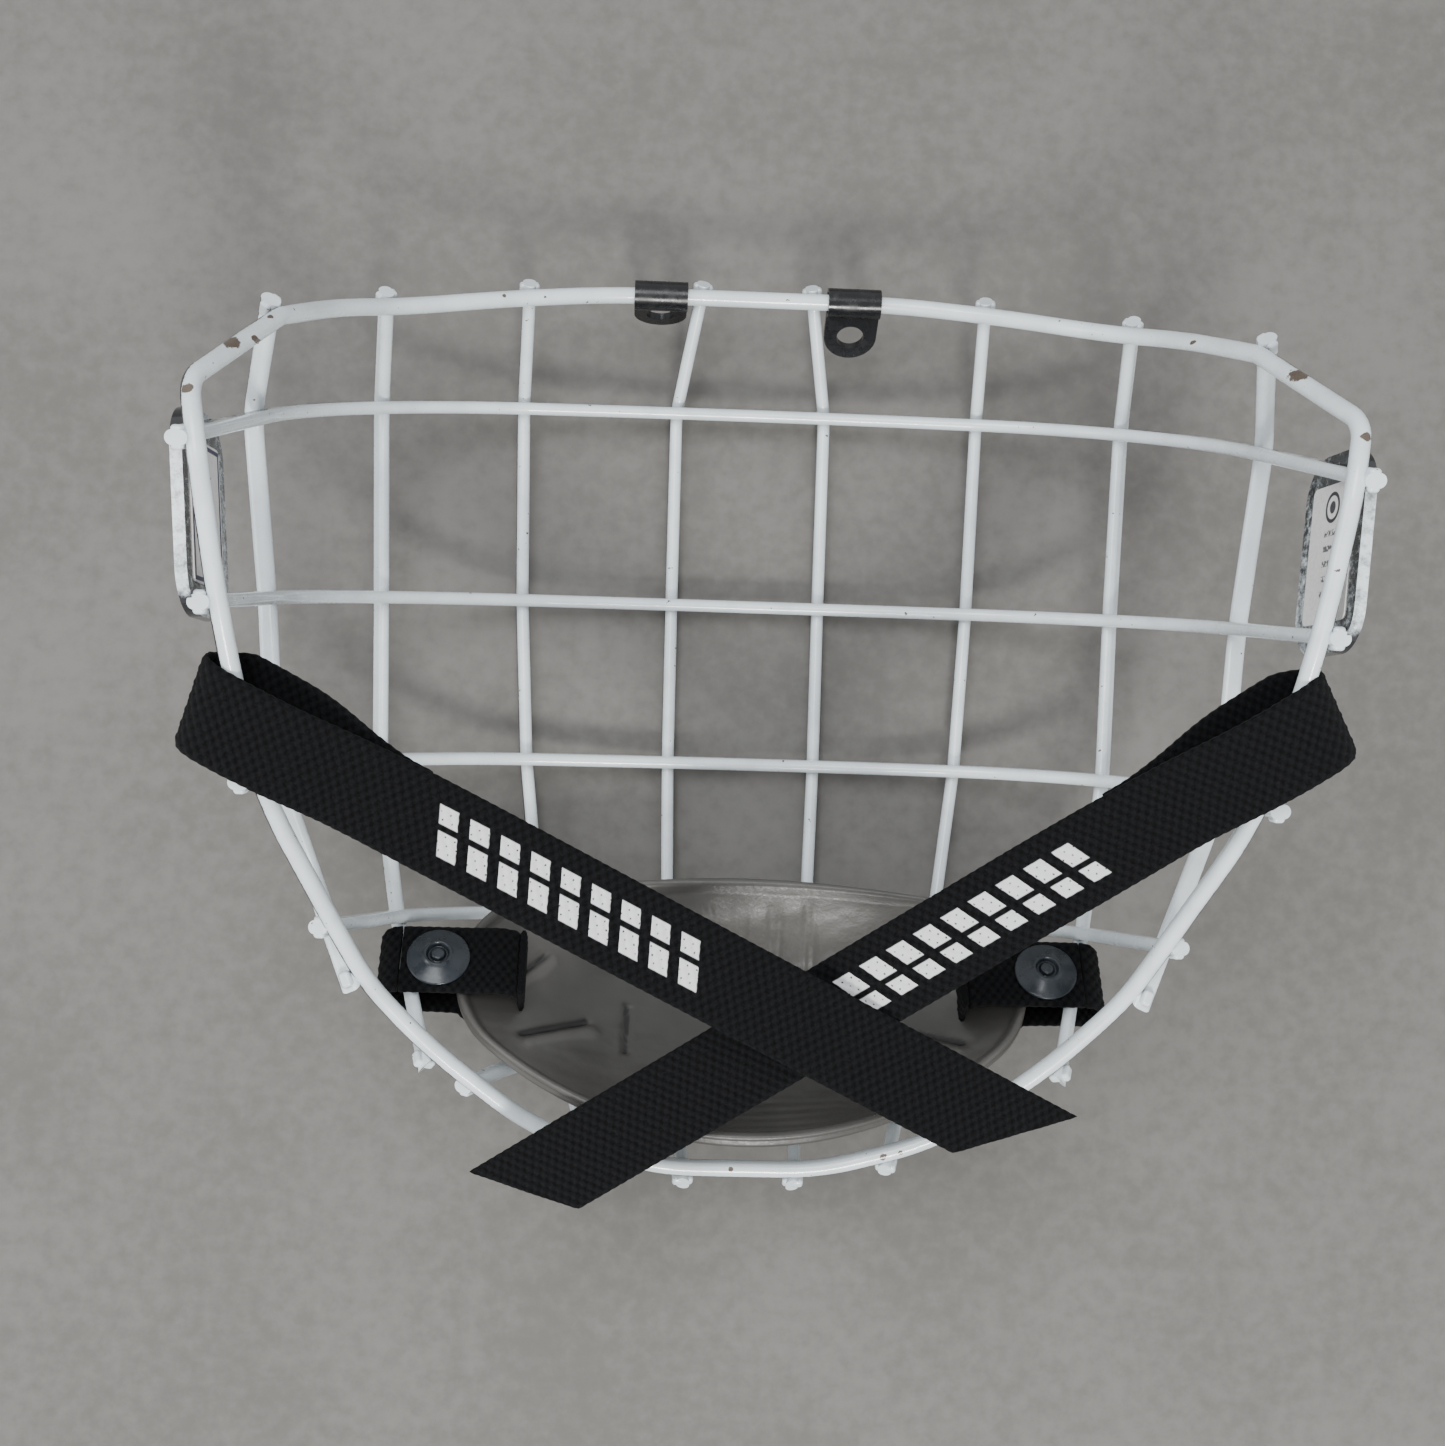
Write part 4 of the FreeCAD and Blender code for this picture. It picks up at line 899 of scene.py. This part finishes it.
def floor_material():
    material, tree, shader = new_material("table_top", roughness=0.7)
    place = object_position(tree)
    broad = noise_value(tree, place, 14.0, 3.0)
    fine = noise_value(tree, place, 220.0, 4.0, 0.6)
    blend = math_node(tree, "MULTIPLY_ADD", fine, 0.5, math_node(tree, "MULTIPLY", broad, 0.5))
    color = mix_color(tree, ramp(tree, blend, 0.35, 0.65), (0.128, 0.122, 0.112), (0.170, 0.163, 0.152))
    link(tree, color, shader, "Base Color")
    return material


def make_stage():
    reach = 1.6
    points = [(-reach, -reach, 0), (reach, -reach, 0), (reach, reach, 0), (-reach, reach, 0)]
    floor = mesh_object("floor", points, [(0, 1, 2, 3)], floor_material(), smooth=False)
    world = bpy.data.worlds.new("studio")
    bpy.context.scene.world = world
    world.use_nodes = True
    world.node_tree.nodes["Background"].inputs["Color"].default_value = (0.95, 0.975, 1.0, 1)
    world.node_tree.nodes["Background"].inputs["Strength"].default_value = 0.85
    lights = [
        ("key", (0.10, -0.95, 1.05), 0.34, 15.0, (1.0, 0.985, 0.96)),
        ("overhead", (-0.35, 0.45, 1.5), 0.9, 13.0, (0.96, 0.98, 1.0)),
        ("left_fill", (-1.3, -0.1, 0.8), 0.7, 4.5, (0.97, 0.985, 1.0)),
    ]
    for name, place, across, power, color in lights:
        data = bpy.data.lights.new(name, "AREA")
        data.shape = "DISK"
        data.size = across
        data.energy = power
        data.color = color
        lamp = bpy.data.objects.new(name, data)
        lamp.location = place
        lamp.rotation_mode = "QUATERNION"
        lamp.rotation_quaternion = (-Vector(place)).to_track_quat("-Z", "Y")
        bpy.context.scene.collection.objects.link(lamp)


def make_camera():
    """Looks straight into the cage from above, with a slight lean."""
    tip_x, tip_y, roll = (math.radians(a) for a in (-2.614, 2.710, -1.715))
    offset = Vector((4.79, -0.24, -494.51)) * MM
    turn = (Matrix.Rotation(roll, 3, "Z") @ Matrix.Rotation(tip_y, 3, "Y")
            @ Matrix.Rotation(tip_x, 3, "X")).transposed()
    data = bpy.data.cameras.new("camera")
    data.sensor_width = 36
    data.lens = 49.8
    data.clip_start = 0.01
    data.clip_end = 20
    camera = bpy.data.objects.new("camera", data)
    camera.matrix_world = Matrix.Translation(MIDDLE - turn @ offset) @ turn.to_4x4()
    bpy.context.scene.collection.objects.link(camera)
    bpy.context.scene.camera = camera


make_camera()
dress_cage()
thread = new_material("strap_thread", roughness=0.7, color=(0.012, 0.012, 0.014))[0]
for side_name, length, bias, printed, sag, drift in (
        ("left", 192, 21 * MM, (107.5 * MM, 170.5 * MM, 1), 0.6, 3.2),
        ("right", 197, 17 * MM, (110 * MM, 170 * MM, 1), 0.4, 2.4)):
    web = webbing_material("strap_%s_weave" % side_name, printed)
    stations, along, upper_way, fold_row = make_strap(side_name, web, length + 12, sag, drift)
    strap = woven_strip("strap_%s_web" % side_name, stations, WEBBING_WIDTH, WEBBING_GAUGE, web)
    joint = JOINTS["strap_%s_swing" % side_name]
    pivot = Vector(joint["pos_m"])
    flat_way = Vector((0, 0, 1)).cross(along).normalized() * upper_way
    tip = pivot + along * (length * MM - bias / 2)
    cut_tip(strap, tip, along, flat_way, WEBBING_WIDTH / 2, bias)
    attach(strap, "strap_%s_body" % side_name)
    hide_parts("strap_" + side_name)
    along_seam = [index for index, station in enumerate(stations)
                  if index > fold_row and (station[1] - pivot).dot(along) > 22 * MM]
    rows = [along_seam[0], along_seam[18], along_seam[36]]
    stitches("strap_%s_stitches" % side_name, stations, rows, 8.2 * MM, thread,
             "strap_%s_body" % side_name)

make_cup()
tab_weave = webbing_material("tab_weave")
cap_plastic = snap_cap_material()
for side_name in SIDES:
    make_tab(side_name, tab_weave, cap_plastic)
make_stage()
